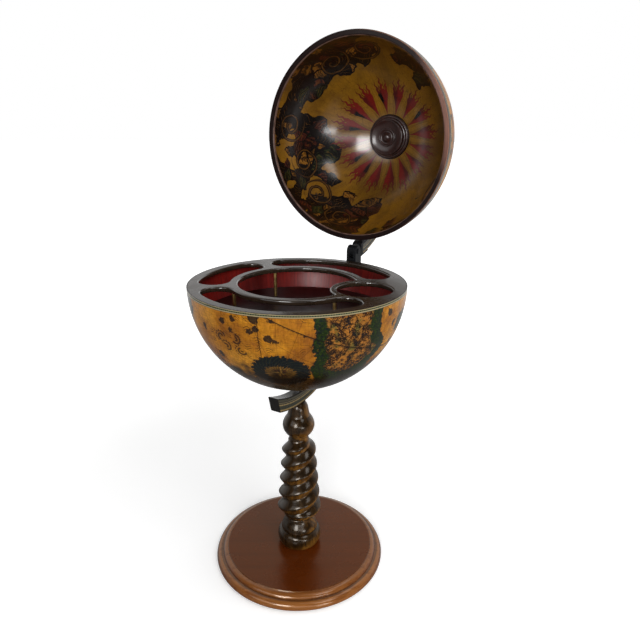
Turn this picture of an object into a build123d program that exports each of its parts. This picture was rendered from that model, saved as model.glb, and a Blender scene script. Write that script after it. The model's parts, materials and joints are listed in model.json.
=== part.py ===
from build123d import *
import math
import os

# Tabletop globe bar: a turned foot and column carry the lower half of a globe, which holds a rack
# for a bottle and glasses. The upper half is the lid. It hangs on a curved arm that is hinged
# behind the globe, and is drawn here in its open position.
# Millimetres. The origin is the middle of the face that the base rests on, +Z is up, the hinge is
# on the +Y side and its axis runs along X.

# ---- driving dimensions -------------------------------------------------------------------

GLOBE_RADIUS = 165.0
SHELL_WALL = 6.0
RIM_HEIGHT = 496.4
OPEN_ANGLE = 88.7

BASE_RADIUS = 145.0
BASE_TOP = 25.0
FELT_THICKNESS = 2.0
COLUMN_TOP = 295.4
TWIST_LEAD = 55.0
TWIST_STARTS = 2

ARM_INNER = 180.0
ARM_OUTER_TIP = 202.0
ARM_OUTER_MIDDLE = 200.2
ARM_OUTER_HINGE = 198.6
ARM_WIDTH = 18.0

PIVOT_BACK = 187.3
PIVOT_UP = 13.7
PIVOT_PIN_RADIUS = 3.0

ROD_RADIUS = 4.0
ROD_CLEARANCE = 0.3
RUNNING_FIT = 0.05

RACK_THICKNESS = 8.0
RACK_DEPTH = 48.5
CENTRE_HOLE = 90.0
GLASS_HOLE = 41.0
GLASS_REACH = 107.0
GLASS_ANGLE = 7.3
GLASS_BAND = 9.5
SLOT_MIDDLE = 126.5
SLOT_HALF_WIDTH = 23.5
SLOTS = ((161.7, 209.3), (47.9, 131.7), (237.3, 332.2))
ROD_CIRCLE = 96.5
RACK_ROD_ANGLES = (144.9, 222.3, 334.3)

# ---- places worked out from them ----------------------------------------------------------

INNER_RADIUS = GLOBE_RADIUS - SHELL_WALL
BOWL_CENTRE = Vector(0, 0, RIM_HEIGHT)
PIVOT = Vector(0, PIVOT_BACK, RIM_HEIGHT + PIVOT_UP)

# The closed lid shares the bowl's centre; opening turns it backwards about the hinge pin.
OPENING = Location(PIVOT) * Location((0, 0, 0), (-OPEN_ANGLE, 0, 0)) * Location(-PIVOT)
CLOSED_SIDE = Plane(origin=BOWL_CENTRE, x_dir=(0, 1, 0), z_dir=(1, 0, 0))
OPEN_SIDE = Plane(OPENING * CLOSED_SIDE.location)
LID_CENTRE = OPEN_SIDE.origin
DOWN = Vector(0, 0, -1)
LID_POLE = OPEN_SIDE.y_dir

BOTTOM = (Align.CENTER, Align.CENTER, Align.MIN)
TOP = (Align.CENTER, Align.CENTER, Align.MAX)


def looking_out(centre, pole, distance=0):
    """A plane square to a pole axis, at a distance from the globe's centre, facing outwards."""
    return Plane(origin=centre + pole * distance, x_dir=(1, 0, 0), z_dir=pole)


def through_pole(centre, pole):
    """The plane of a turned profile: x is the radius, y the distance out along the pole."""
    return Plane(origin=centre, x_dir=(1, 0, 0), z_dir=Vector(1, 0, 0).cross(pole))


def on_sphere(radius, offset):
    """The radius of a sphere's circle at an offset from its middle plane."""
    return math.sqrt(radius**2 - offset**2)


def around(radius, degrees):
    """The point at a radius and an angle, in a flat sketch."""
    angle = math.radians(degrees)
    return (radius * math.cos(angle), radius * math.sin(angle))


def save(part, name):
    """Label a finished piece and write it."""
    part.label = name
    export_step(part, f"parts/{name}.step")


os.makedirs("parts", exist_ok=True)

# ---- base -----------------------------------------------------------------------------------

with BuildPart() as base_felt:
    Cylinder(BASE_RADIUS - 9, FELT_THICKNESS, align=BOTTOM)
save(base_felt.part, "base_felt")

BASE_FLAT = BASE_RADIUS - 20.5
LEDGE_HEIGHT = 17.2
POCKET_RADIUS = 13.0
POCKET_TOP = 13.0

with BuildPart() as base_disc:
    with BuildSketch(Plane.XZ):
        with BuildLine():
            Line((0, FELT_THICKNESS), (0, BASE_TOP))
            Line((0, BASE_TOP), (BASE_FLAT, BASE_TOP))
            Line((BASE_FLAT, BASE_TOP), (BASE_FLAT + 0.9, BASE_TOP - 1.2))
            ThreePointArc(
                (BASE_FLAT + 0.9, BASE_TOP - 1.2),
                (BASE_FLAT + 6.6, BASE_TOP - 2.6),
                (BASE_FLAT + 9.2, BASE_TOP - 6.4),
            )
            Line((BASE_FLAT + 9.2, BASE_TOP - 6.4), (BASE_FLAT + 9.2, LEDGE_HEIGHT))
            Line((BASE_FLAT + 9.2, LEDGE_HEIGHT), (BASE_FLAT + 11.6, LEDGE_HEIGHT))
            Spline(
                (BASE_FLAT + 11.6, LEDGE_HEIGHT),
                (BASE_RADIUS - 2.2, 14.4),
                (BASE_RADIUS, 9.2),
                (BASE_RADIUS - 6.5, FELT_THICKNESS),
                tangents=[(1, 0), (-1, -0.45)],
            )
            Line((BASE_RADIUS - 6.5, FELT_THICKNESS), (0, FELT_THICKNESS))
        make_face()
    revolve(axis=Axis.Z)
    with Locations((0, 0, FELT_THICKNESS)):
        Cylinder(POCKET_RADIUS, POCKET_TOP - FELT_THICKNESS, align=BOTTOM, mode=Mode.SUBTRACT)
    Hole(ROD_RADIUS + ROD_CLEARANCE)
save(base_disc.part, "base_disc")

# ---- column ---------------------------------------------------------------------------------

FOOT_TOP = 82.0
BALL_BOTTOM = 226.0
TWIST_RUN_IN = 13.0
TWIST_DEPTH = 8.1
VALLEY_ANGLE = 39.0
VALLEY_HEIGHT = 167.8


def rope_crest(height):
    """The radius over the crests of the rope twist, which tapers upwards."""
    return 28.8 + (206.9 - height) * 0.076


def rope_depth(height):
    """How deep the twist is cut: its full depth between the two ends, where it dies out."""
    from_end = min(height - FOOT_TOP, BALL_BOTTOM - height) / TWIST_RUN_IN
    fade = min(max(from_end, 0.0), 1.0)
    return TWIST_DEPTH * fade * fade * (3 - 2 * fade)


def rope_root(height):
    """The radius in the twist's valleys, drawn in to the necks at both ends."""
    plain = rope_crest(height) - TWIST_DEPTH
    low = min(max((FOOT_TOP + TWIST_RUN_IN - height) / TWIST_RUN_IN, 0.0), 1.0)
    high = min(max((height - BALL_BOTTOM + TWIST_RUN_IN) / TWIST_RUN_IN, 0.0), 1.0)
    return plain - 5.4 * low * low - 4.6 * high * high


def rope_outline(height):
    """One closed outline of the twist: a rounded wave for each strand, valley to valley."""
    first_valley = VALLEY_ANGLE + 360.0 * (height - VALLEY_HEIGHT) / TWIST_LEAD
    strand = 360.0 / TWIST_STARTS
    steps = 14
    for start in range(TWIST_STARTS):
        points = []
        for step in range(steps + 1):
            across = 2.0 * step / steps - 1.0
            arch = (1.0 - abs(across) ** 1.6) ** 1.55
            radius = rope_root(height) + rope_depth(height) * arch
            points.append(around(radius, first_valley + strand * (start + step / steps)))
        Spline(*points)


TWIST_SECTIONS = 38
TWIST_LOW = FOOT_TOP - 4.0
TWIST_HIGH = BALL_BOTTOM + 3.0

with BuildPart() as column:
    for section in range(TWIST_SECTIONS + 1):
        level = TWIST_LOW + (TWIST_HIGH - TWIST_LOW) * section / TWIST_SECTIONS
        with BuildSketch(Plane.XY.offset(level)):
            with BuildLine():
                rope_outline(level)
            make_face()
    loft()
    # foot: a fat ring, a fine groove and a flared cup that narrows to the neck
    with BuildSketch(Plane.XZ):
        with BuildLine():
            Line((0, BASE_TOP), (31.5, BASE_TOP))
            Spline((31.5, BASE_TOP), (37.2, 37.5), (35.0, 49.5), (31.2, 53.6))
            Line((31.2, 53.6), (29.6, 54.2))
            Line((29.6, 54.2), (29.6, 55.4))
            Line((29.6, 55.4), (31.0, 56.2))
            Spline((31.0, 56.2), (30.0, 61.0), (25.6, 70.0), (23.2, FOOT_TOP))
            Line((23.2, FOOT_TOP), (0, FOOT_TOP))
            Line((0, FOOT_TOP), (0, BASE_TOP))
        make_face()
    revolve(axis=Axis.Z)
    # ball and the waisted cap under the arm
    with BuildSketch(Plane.XZ):
        with BuildLine():
            Line((0, BALL_BOTTOM), (17.6, BALL_BOTTOM))
            Spline((17.6, BALL_BOTTOM), (16.0, 231.0), (18.2, 236.6))
            Spline((18.2, 236.6), (24.3, 245.0), (26.3, 254.5), (23.4, 264.5), (18.9, 271.4))
            Spline((18.9, 271.4), (16.9, 279.0), (15.5, 286.5), (10.8, COLUMN_TOP))
            Line((10.8, COLUMN_TOP), (0, COLUMN_TOP))
            Line((0, COLUMN_TOP), (0, BALL_BOTTOM))
        make_face()
    revolve(axis=Axis.Z)
    Cylinder(ROD_RADIUS + ROD_CLEARANCE, 2 * RIM_HEIGHT, mode=Mode.SUBTRACT)
save(column.part, "column")

# ---- tie rod, washers and nuts --------------------------------------------------------------

WASHER_RADIUS = 8.0
WASHER_THICKNESS = 1.4
BASE_WASHER_RADIUS = 11.0
NUT_FLATS = 13.0
NUT_HEIGHT = 6.5
JAM_NUT_HEIGHT = 4.0
THRUST_RADIUS = 9.0
THRUST_THICKNESS = 1.5
TURNING_GAP = 0.3

# Distances along a pole axis from the globe's centre, from the arm inwards.
ARM_SEAT = ARM_INNER + 2.0
ARM_NUT = ARM_SEAT - WASHER_THICKNESS
THRUST_SEAT = ARM_NUT - NUT_HEIGHT
HUB_END = THRUST_SEAT - THRUST_THICKNESS - TURNING_GAP
HUB_FLANGE = HUB_END - 2.3
SHELL_SEAT = GLOBE_RADIUS - 1.0
INNER_SEAT = INNER_RADIUS - 1.2
HUB_INNER = INNER_SEAT - 3.0
KEEPER = HUB_INNER - TURNING_GAP
LOCK_NUT = KEEPER - WASHER_THICKNESS
ROD_END = LOCK_NUT - JAM_NUT_HEIGHT - 1.0
ROD_FOOT = 4.0


def washer(plane, outer, bore, thickness):
    """A flat washer that stands on a plane."""
    with BuildPart(plane) as made:
        Cylinder(outer, thickness, align=BOTTOM)
        Hole(bore)
    return made.part


def hexagon_nut(plane, height, bore=ROD_RADIUS, flats=NUT_FLATS):
    """A hexagon nut that stands on a plane, with its two rims chamfered."""
    with BuildPart(plane) as made:
        with BuildSketch(plane):
            RegularPolygon(flats / 2, 6, major_radius=False)
        extrude(amount=height)
        with BuildSketch(plane):
            Circle(flats / 2 + 0.6)
        extrude(amount=height, mode=Mode.INTERSECT)
        Hole(bore)
    return made.part


with BuildPart() as tie_rod:
    with Locations((0, 0, ROD_FOOT)):
        Cylinder(ROD_RADIUS, RIM_HEIGHT - ROD_END - ROD_FOOT, align=BOTTOM)
    chamfer(tie_rod.edges(), 0.6)
save(tie_rod.part, "tie_rod")

washer_base = POCKET_TOP - WASHER_THICKNESS
base_washer = washer(
    Plane.XY.offset(washer_base), BASE_WASHER_RADIUS, ROD_RADIUS + 0.2, WASHER_THICKNESS
)
save(base_washer, "base_washer")
save(hexagon_nut(Plane.XY.offset(washer_base - NUT_HEIGHT), NUT_HEIGHT), "base_nut")

# ---- curved arms ----------------------------------------------------------------------------

ARM_END_INNER = 23.5
ARM_END_OUTER = 18.7
ARM_MIDDLE = (ARM_INNER + ARM_OUTER_HINGE) / 2
LOWER_WOOD_END = -8.0
UPPER_WOOD_START = 33.5
ARM_EDGE = 1.2
STRAP_REACH = 20.0
RIVET_RADIUS = 1.8
RIVET_HEAD = 0.9
RIVET_SPOTS = (6.5, 14.5)


def arm_point(radius, degrees, way):
    """A point on an arm: degrees past the pole towards the hinge, way is -1 below and +1 above."""
    angle = math.radians(degrees)
    return (radius * math.sin(angle), way * radius * math.cos(angle))


def arm_body(side, way, wood_end):
    """A curved arm that thins towards its flat end at the hinge, with a slanted free end."""
    tip_inner = arm_point(ARM_INNER, -ARM_END_INNER, way)
    tip_outer = arm_point(ARM_OUTER_TIP, -ARM_END_OUTER, way)
    middle_inner = arm_point(ARM_INNER, 35, way)
    middle_outer = arm_point(ARM_OUTER_MIDDLE, 35, way)
    hinge_inner = (on_sphere(ARM_INNER, wood_end), wood_end)
    hinge_outer = (on_sphere(ARM_OUTER_HINGE, wood_end), wood_end)
    with BuildPart() as made:
        with BuildSketch(side):
            with BuildLine():
                ThreePointArc(tip_inner, middle_inner, hinge_inner)
                Line(hinge_inner, hinge_outer)
                ThreePointArc(hinge_outer, middle_outer, tip_outer)
                Line(tip_outer, tip_inner)
            make_face()
        extrude(amount=ARM_WIDTH / 2, both=True)
        long_edges = made.edges().filter_by(GeomType.CIRCLE)
        chamfer(long_edges, ARM_EDGE)
    return made.part


def drill_arm(arm, centre, pole):
    """Bore an arm at the pole, with a spot face inside and another outside."""
    with BuildPart() as made:
        add(arm)
        with Locations(looking_out(centre, pole, ARM_INNER - 5)):
            Cylinder(ROD_RADIUS + ROD_CLEARANCE, 40, align=BOTTOM, mode=Mode.SUBTRACT)
            spot_depth = ARM_SEAT - ARM_INNER + 5
            Cylinder(WASHER_RADIUS + 0.4, spot_depth, align=BOTTOM, mode=Mode.SUBTRACT)
        with Locations(looking_out(centre, pole, RIM_HEIGHT - COLUMN_TOP)):
            Cylinder(15, 5, align=BOTTOM, mode=Mode.SUBTRACT)
    return made.part


def rivet_planes(side, wood_end, way):
    """The planes of a shoe's rivets: in the arm's middle line, facing out from the centre."""
    planes = []
    for spot in RIVET_SPOTS:
        height = wood_end + way * spot
        reach = on_sphere(ARM_MIDDLE, height)
        tilt = math.degrees(math.asin(height / ARM_MIDDLE))
        placed = side * Pos(reach, height, 0) * Rot(0, 0, tilt) * Rot(0, 90, 0)
        planes.append(Plane(placed))
    return planes


def drill_rivets(arm, side, wood_end, way):
    """Bore the end of an arm for the rivets that hold its iron shoe."""
    with BuildPart() as made:
        add(arm)
        for plane in rivet_planes(side, wood_end, way):
            with Locations(plane):
                Cylinder(RIVET_RADIUS + 0.1, 60, mode=Mode.SUBTRACT)
    return made.part


lower_plain = arm_body(CLOSED_SIDE, -1, LOWER_WOOD_END)
lower_bored = drill_arm(lower_plain, BOWL_CENTRE, DOWN)
save(drill_rivets(lower_bored, CLOSED_SIDE, LOWER_WOOD_END, -1), "lower_arm")

upper_plain = arm_body(OPEN_SIDE, 1, UPPER_WOOD_START)
upper_bored = drill_arm(upper_plain, LID_CENTRE, LID_POLE)
save(drill_rivets(upper_bored, OPEN_SIDE, UPPER_WOOD_START, 1), "upper_arm")

# ---- hinge ----------------------------------------------------------------------------------

EAR_RADIUS = 10.5
TONGUE_RADIUS = 10.2
TONGUE_HALF = 3.7
EAR_GAP = 0.3
BLOCK_TOP = 1.5
TONGUE_ROOT = 26.6
SHOE_INNER = PIVOT_BACK - EAR_RADIUS
SHOE_OUTER = ARM_OUTER_HINGE + 1.4
BEARING_FACE = PIVOT_BACK + TONGUE_ROOT - PIVOT_UP - EAR_GAP
PIVOT_SPOT = (PIVOT_BACK, PIVOT_UP)


def strap(side, radius_in, radius_out, start, way):
    """One curved iron strap that lies along an arm's face, from the wood's end."""
    far = start + way * STRAP_REACH
    middle = (start + far) / 2
    with BuildPart() as made:
        with BuildSketch(side):
            with BuildLine():
                ThreePointArc(
                    (on_sphere(radius_in, start), start),
                    (on_sphere(radius_in, middle), middle),
                    (on_sphere(radius_in, far), far),
                )
                Line((on_sphere(radius_in, far), far), (on_sphere(radius_out, far), far))
                ThreePointArc(
                    (on_sphere(radius_out, far), far),
                    (on_sphere(radius_out, middle), middle),
                    (on_sphere(radius_out, start), start),
                )
                Line((on_sphere(radius_out, start), start), (on_sphere(radius_in, start), start))
            make_face()
        extrude(amount=ARM_WIDTH / 2, both=True)
    return made.part


with BuildPart() as lower_hinge_bracket:
    # block on the arm's end, with the two ears standing on it
    with BuildSketch(CLOSED_SIDE):
        with BuildLine():
            Line((SHOE_INNER, LOWER_WOOD_END), (SHOE_INNER, PIVOT_UP))
            ThreePointArc(
                (SHOE_INNER, PIVOT_UP),
                (PIVOT_BACK, PIVOT_UP + EAR_RADIUS),
                (PIVOT_BACK + EAR_RADIUS, PIVOT_UP),
            )
            Polyline(
                (PIVOT_BACK + EAR_RADIUS, PIVOT_UP),
                (BEARING_FACE, BLOCK_TOP + 4),
                (BEARING_FACE, BLOCK_TOP - 4),
                (on_sphere(SHOE_OUTER, LOWER_WOOD_END), LOWER_WOOD_END + 2.5),
                (on_sphere(SHOE_OUTER, LOWER_WOOD_END), LOWER_WOOD_END),
                (SHOE_INNER, LOWER_WOOD_END),
            )
        make_face()
    extrude(amount=ARM_WIDTH / 2, both=True)
    sides = lower_hinge_bracket.faces().sort_by(Axis.X)
    chamfer(sides[0].edges() + sides[-1].edges(), 0.7)
    add(strap(CLOSED_SIDE, SHOE_INNER, ARM_INNER, LOWER_WOOD_END, -1))
    add(strap(CLOSED_SIDE, ARM_OUTER_HINGE, SHOE_OUTER, LOWER_WOOD_END, -1))
    add(lower_plain, mode=Mode.SUBTRACT)
    # slot for the tongue
    with BuildSketch(CLOSED_SIDE):
        with Locations((PIVOT_BACK, BLOCK_TOP + 20)):
            Rectangle(40, 40)
    extrude(amount=TONGUE_HALF + EAR_GAP, both=True, mode=Mode.SUBTRACT)
    with BuildSketch(CLOSED_SIDE):
        with Locations(PIVOT_SPOT):
            Circle(PIVOT_PIN_RADIUS + 0.02)
    extrude(amount=ARM_WIDTH, both=True, mode=Mode.SUBTRACT)
lower_shoe = drill_rivets(lower_hinge_bracket.part, CLOSED_SIDE, LOWER_WOOD_END, -1)
save(lower_shoe, "lower_hinge_bracket")

with BuildPart() as upper_hinge_bracket:
    # tongue
    with BuildSketch(OPEN_SIDE):
        with Locations(PIVOT_SPOT):
            Circle(TONGUE_RADIUS)
        with Locations((PIVOT_BACK, (PIVOT_UP + TONGUE_ROOT + 2) / 2)):
            Rectangle(2 * TONGUE_RADIUS - 1.4, TONGUE_ROOT + 2 - PIVOT_UP)
    extrude(amount=TONGUE_HALF, both=True)
    # block between the tongue and the wood
    with BuildSketch(OPEN_SIDE):
        with BuildLine():
            Polyline(
                (SHOE_INNER, TONGUE_ROOT),
                (ARM_OUTER_HINGE, TONGUE_ROOT),
                (on_sphere(SHOE_OUTER, UPPER_WOOD_START), UPPER_WOOD_START),
                (on_sphere(SHOE_INNER, UPPER_WOOD_START), UPPER_WOOD_START),
                (SHOE_INNER, TONGUE_ROOT),
            )
        make_face()
    extrude(amount=ARM_WIDTH / 2, both=True)
    add(strap(OPEN_SIDE, SHOE_INNER, ARM_INNER, UPPER_WOOD_START, 1))
    add(strap(OPEN_SIDE, ARM_OUTER_HINGE, SHOE_OUTER, UPPER_WOOD_START, 1))
    add(upper_plain, mode=Mode.SUBTRACT)
    with BuildSketch(OPEN_SIDE):
        with Locations(PIVOT_SPOT):
            Circle(PIVOT_PIN_RADIUS + RUNNING_FIT)
    extrude(amount=ARM_WIDTH, both=True, mode=Mode.SUBTRACT)
upper_shoe = drill_rivets(upper_hinge_bracket.part, OPEN_SIDE, UPPER_WOOD_START, 1)
save(upper_shoe, "upper_hinge_bracket")

PIN_HEAD_RADIUS = 5.0
PIN_HEAD = 2.2
PIN_CAP = 1.8
PIN_SEAT = ARM_WIDTH / 2 + 0.05

with BuildPart() as hinge_pin:
    with BuildSketch(Plane(origin=PIVOT, x_dir=(0, 1, 0), z_dir=(0, 0, -1))):
        with BuildLine():
            Polyline(
                (0, PIN_SEAT + PIN_CAP + 0.3),
                (PIVOT_PIN_RADIUS, PIN_SEAT + PIN_CAP + 0.3),
                (PIVOT_PIN_RADIUS, -PIN_SEAT),
                (PIN_HEAD_RADIUS, -PIN_SEAT),
                (PIN_HEAD_RADIUS, -PIN_SEAT - 0.8),
            )
            Spline(
                (PIN_HEAD_RADIUS, -PIN_SEAT - 0.8),
                (PIN_HEAD_RADIUS * 0.72, -PIN_SEAT - 1.8),
                (0, -PIN_SEAT - PIN_HEAD),
            )
            Line((0, -PIN_SEAT - PIN_HEAD), (0, PIN_SEAT + PIN_CAP + 0.3))
        make_face()
    revolve(axis=Axis(PIVOT, (1, 0, 0)))
save(hinge_pin.part, "hinge_pin")

cap_plane = Plane(origin=PIVOT + Vector(PIN_SEAT, 0, 0), z_dir=(1, 0, 0))
save(washer(cap_plane, PIN_HEAD_RADIUS, PIVOT_PIN_RADIUS + 0.02, PIN_CAP), "hinge_pin_cap")


def rivets(side, wood_end, way):
    """The rivets of one iron shoe: a shank through wood and straps, with a low head each side."""
    head_gap = 0.06
    with BuildPart() as made:
        for plane in rivet_planes(side, wood_end, way):
            with Locations(plane.offset(SHOE_INNER - ARM_MIDDLE - head_gap)):
                Cylinder(RIVET_RADIUS, SHOE_OUTER - SHOE_INNER + 2 * head_gap, align=BOTTOM)
                Cylinder(RIVET_RADIUS * 1.8, RIVET_HEAD, align=TOP)
            with Locations(plane.offset(SHOE_OUTER - ARM_MIDDLE + head_gap)):
                Cylinder(RIVET_RADIUS * 1.8, RIVET_HEAD, align=BOTTOM)
    return made.part


save(rivets(CLOSED_SIDE, LOWER_WOOD_END, -1), "lower_bracket_rivets")
save(rivets(OPEN_SIDE, UPPER_WOOD_START, 1), "upper_bracket_rivets")

# ---- pole bearings, the same at the bowl's pole and at the lid's ----------------------------

HUB_RADIUS = 9.0
HUB_FLANGE_RADIUS = 17.5
CLAMP_RADIUS = 17.5
HUB_SCREWS = 4
HUB_SCREW_CIRCLE = 13.2
HUB_SCREW_RADIUS = 1.5
HUB_SCREW_HEAD = 2.6


def turned(centre, pole, corners):
    """A piece turned about a pole axis, from the corners of its profile (radius, distance)."""
    with BuildPart() as made:
        with BuildSketch(through_pole(centre, pole)):
            with BuildLine():
                Polyline(*corners, close=True)
            make_face()
        revolve(axis=Axis(centre, pole))
    return made.part


def hub_screw_spots(plane):
    """The places of the hub's screws on a plane square to the pole."""
    return [
        plane * Pos(*around(HUB_SCREW_CIRCLE, 45 + 360 * spot / HUB_SCREWS), 0)
        for spot in range(HUB_SCREWS)
    ]


def pole_bearing(centre, pole, half):
    """Hub, clamp ring and screws on the shell, and the washer stack on the rod that it turns on."""
    bore = ROD_RADIUS + RUNNING_FIT
    flange = [
        (bore, HUB_END),
        (HUB_RADIUS, HUB_END),
        (HUB_RADIUS + 0.8, HUB_FLANGE),
        (HUB_FLANGE_RADIUS, HUB_FLANGE - 1.2),
        (HUB_FLANGE_RADIUS, SHELL_SEAT),
        (HUB_RADIUS, SHELL_SEAT),
        (HUB_RADIUS, HUB_INNER),
        (bore, HUB_INNER),
    ]
    inner = looking_out(centre, pole, INNER_SEAT)
    with BuildPart() as hub:
        add(turned(centre, pole, flange))
        for spot in hub_screw_spots(inner):
            with Locations(spot):
                Cylinder(HUB_SCREW_RADIUS, 11.2, align=BOTTOM, mode=Mode.SUBTRACT)
    save(hub.part, f"{half}_hub")
    clamp_plane = looking_out(centre, pole, HUB_INNER)
    with BuildPart() as clamp:
        add(washer(clamp_plane, CLAMP_RADIUS, HUB_RADIUS + 0.02, INNER_SEAT - HUB_INNER))
        for spot in hub_screw_spots(inner):
            with Locations(spot):
                Cylinder(HUB_SCREW_RADIUS + 0.1, 20, mode=Mode.SUBTRACT)
    save(clamp.part, f"{half}_hub_ring")
    with BuildPart() as screws:
        for spot in hub_screw_spots(looking_out(centre, pole, HUB_INNER)):
            with Locations(spot):
                Cylinder(HUB_SCREW_RADIUS, 13.4, align=BOTTOM)
                Cylinder(HUB_SCREW_HEAD, 1.3, align=TOP)
    save(screws.part, f"{half}_hub_screws")
    thrust = looking_out(centre, pole, THRUST_SEAT - THRUST_THICKNESS)
    save(
        washer(thrust, THRUST_RADIUS, ROD_RADIUS + 0.1, THRUST_THICKNESS),
        f"{half}_thrust_washer",
    )
    arm_washer = looking_out(centre, pole, ARM_SEAT - WASHER_THICKNESS)
    save(
        washer(arm_washer, WASHER_RADIUS, ROD_RADIUS + 0.1, WASHER_THICKNESS),
        f"{half}_arm_washer",
    )
    save(hexagon_nut(looking_out(centre, pole, THRUST_SEAT), NUT_HEIGHT), f"{half}_arm_nut")
    keeper = looking_out(centre, pole, LOCK_NUT)
    save(
        washer(keeper, WASHER_RADIUS, ROD_RADIUS + 0.1, WASHER_THICKNESS),
        f"{half}_keeper_washer",
    )
    lock_nut = looking_out(centre, pole, LOCK_NUT - JAM_NUT_HEIGHT)
    save(hexagon_nut(lock_nut, JAM_NUT_HEIGHT), f"{half}_lock_nut")


pole_bearing(BOWL_CENTRE, DOWN, "bowl")
pole_bearing(LID_CENTRE, LID_POLE, "lid")

CAP_NUT_SEAT = RIM_HEIGHT - COLUMN_TOP + WASHER_THICKNESS
CAP_NUT_HEIGHT = 6.0
CAP_NUT_DOME = 5.8
STUD_OUTER = CAP_NUT_SEAT + 8.0

pole_washer_plane = looking_out(LID_CENTRE, LID_POLE, RIM_HEIGHT - COLUMN_TOP)
save(
    washer(pole_washer_plane, WASHER_RADIUS + 0.6, ROD_RADIUS + 0.1, WASHER_THICKNESS),
    "pole_washer",
)

with BuildPart(looking_out(LID_CENTRE, LID_POLE, ROD_END)) as pole_stud:
    Cylinder(ROD_RADIUS, STUD_OUTER - ROD_END, align=BOTTOM)
    chamfer(pole_stud.edges(), 0.6)
save(pole_stud.part, "pole_stud")

with BuildPart(looking_out(LID_CENTRE, LID_POLE, CAP_NUT_SEAT)) as pole_cap_nut:
    with BuildSketch(looking_out(LID_CENTRE, LID_POLE, CAP_NUT_SEAT)):
        RegularPolygon(NUT_FLATS / 2, 6, major_radius=False)
    extrude(amount=CAP_NUT_HEIGHT)
    with Locations((0, 0, CAP_NUT_HEIGHT)):
        Sphere(CAP_NUT_DOME)
    bore_depth = STUD_OUTER - CAP_NUT_SEAT
    Cylinder(ROD_RADIUS, bore_depth + 0.5, align=BOTTOM, mode=Mode.SUBTRACT)
    with Locations((0, 0, -10)):
        Cylinder(20, 10, align=BOTTOM, mode=Mode.SUBTRACT)
save(pole_cap_nut.part, "pole_cap_nut")

# ---- the two halves of the globe ------------------------------------------------------------

RACK_LIP = 1.6
RACK_PLAY = 0.2
LID_GAP = 0.5
LID_RING_DEPTH = 7.0
LID_RING_INNER = 156.4


def half_globe(centre, pole, rim):
    """A half shell turned about its pole: rim holds the corners of its edge, inside to outside."""
    outer_flat = on_sphere(GLOBE_RADIUS, SHELL_SEAT)
    inner_flat = on_sphere(INNER_RADIUS, INNER_SEAT)
    slant = math.sqrt(0.5)
    bore = HUB_RADIUS + 0.05
    with BuildPart() as made:
        with BuildSketch(through_pole(centre, pole)):
            with BuildLine():
                Line((bore, SHELL_SEAT), (bore, INNER_SEAT))
                Line((bore, INNER_SEAT), (inner_flat, INNER_SEAT))
                ThreePointArc(
                    (inner_flat, INNER_SEAT), (INNER_RADIUS * slant, INNER_RADIUS * slant), rim[0]
                )
                Polyline(*rim)
                ThreePointArc(
                    rim[-1], (GLOBE_RADIUS * slant, GLOBE_RADIUS * slant), (outer_flat, SHELL_SEAT)
                )
                Line((outer_flat, SHELL_SEAT), (bore, SHELL_SEAT))
            make_face()
        revolve(axis=Axis(centre, pole))
        for spot in hub_screw_spots(looking_out(centre, pole, INNER_SEAT)):
            with Locations(spot):
                Cylinder(HUB_SCREW_RADIUS + 0.1, 30, mode=Mode.SUBTRACT)
    return made.part


bowl_rim = [
    (on_sphere(INNER_RADIUS, RACK_THICKNESS), RACK_THICKNESS),
    (GLOBE_RADIUS - RACK_LIP, RACK_THICKNESS),
    (GLOBE_RADIUS - RACK_LIP, 0),
    (GLOBE_RADIUS, 0),
]
save(half_globe(BOWL_CENTRE, DOWN, bowl_rim), "bowl_shell")

lid_edge = LID_GAP + LID_RING_DEPTH
lid_rim = [(on_sphere(INNER_RADIUS, lid_edge), lid_edge), (on_sphere(GLOBE_RADIUS, lid_edge), lid_edge)]
save(half_globe(LID_CENTRE, LID_POLE, lid_rim), "lid_shell")

with BuildPart() as lid_rim_ring:
    with BuildSketch(through_pole(LID_CENTRE, LID_POLE)):
        with BuildLine():
            Line((LID_RING_INNER + 1.6, LID_GAP), (on_sphere(GLOBE_RADIUS, LID_GAP), LID_GAP))
            Line(
                (on_sphere(GLOBE_RADIUS, LID_GAP), LID_GAP),
                (on_sphere(GLOBE_RADIUS, lid_edge), lid_edge),
            )
            Line((on_sphere(GLOBE_RADIUS, lid_edge), lid_edge), (LID_RING_INNER + 0.8, lid_edge))
            Line((LID_RING_INNER + 0.8, lid_edge), (LID_RING_INNER, lid_edge - 1.4))
            Line((LID_RING_INNER, lid_edge - 1.4), (LID_RING_INNER, LID_GAP + 1.6))
            RadiusArc(
                (LID_RING_INNER, LID_GAP + 1.6), (LID_RING_INNER + 1.6, LID_GAP), 1.6
            )
        make_face()
    revolve(axis=Axis(LID_CENTRE, LID_POLE))
save(lid_rim_ring.part, "lid_rim_ring")

# ---- turned boss inside the lid -------------------------------------------------------------

BOSS_RADIUS = 38.5
BOSS_BACK = INNER_RADIUS - 0.05
BOSS_EDGE = on_sphere(BOSS_BACK, BOSS_RADIUS)
POCKET_WIDE = CLAMP_RADIUS + 3.0
POCKET_NARROW = 11.0
POCKET_STEP = HUB_INNER - 2.2
POCKET_END = ROD_END - 1.2


def boss_face(radius, rise):
    """A point of the boss's turned face: its radius and how far it stands out from its edge."""
    return (radius, BOSS_EDGE - rise)


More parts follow.
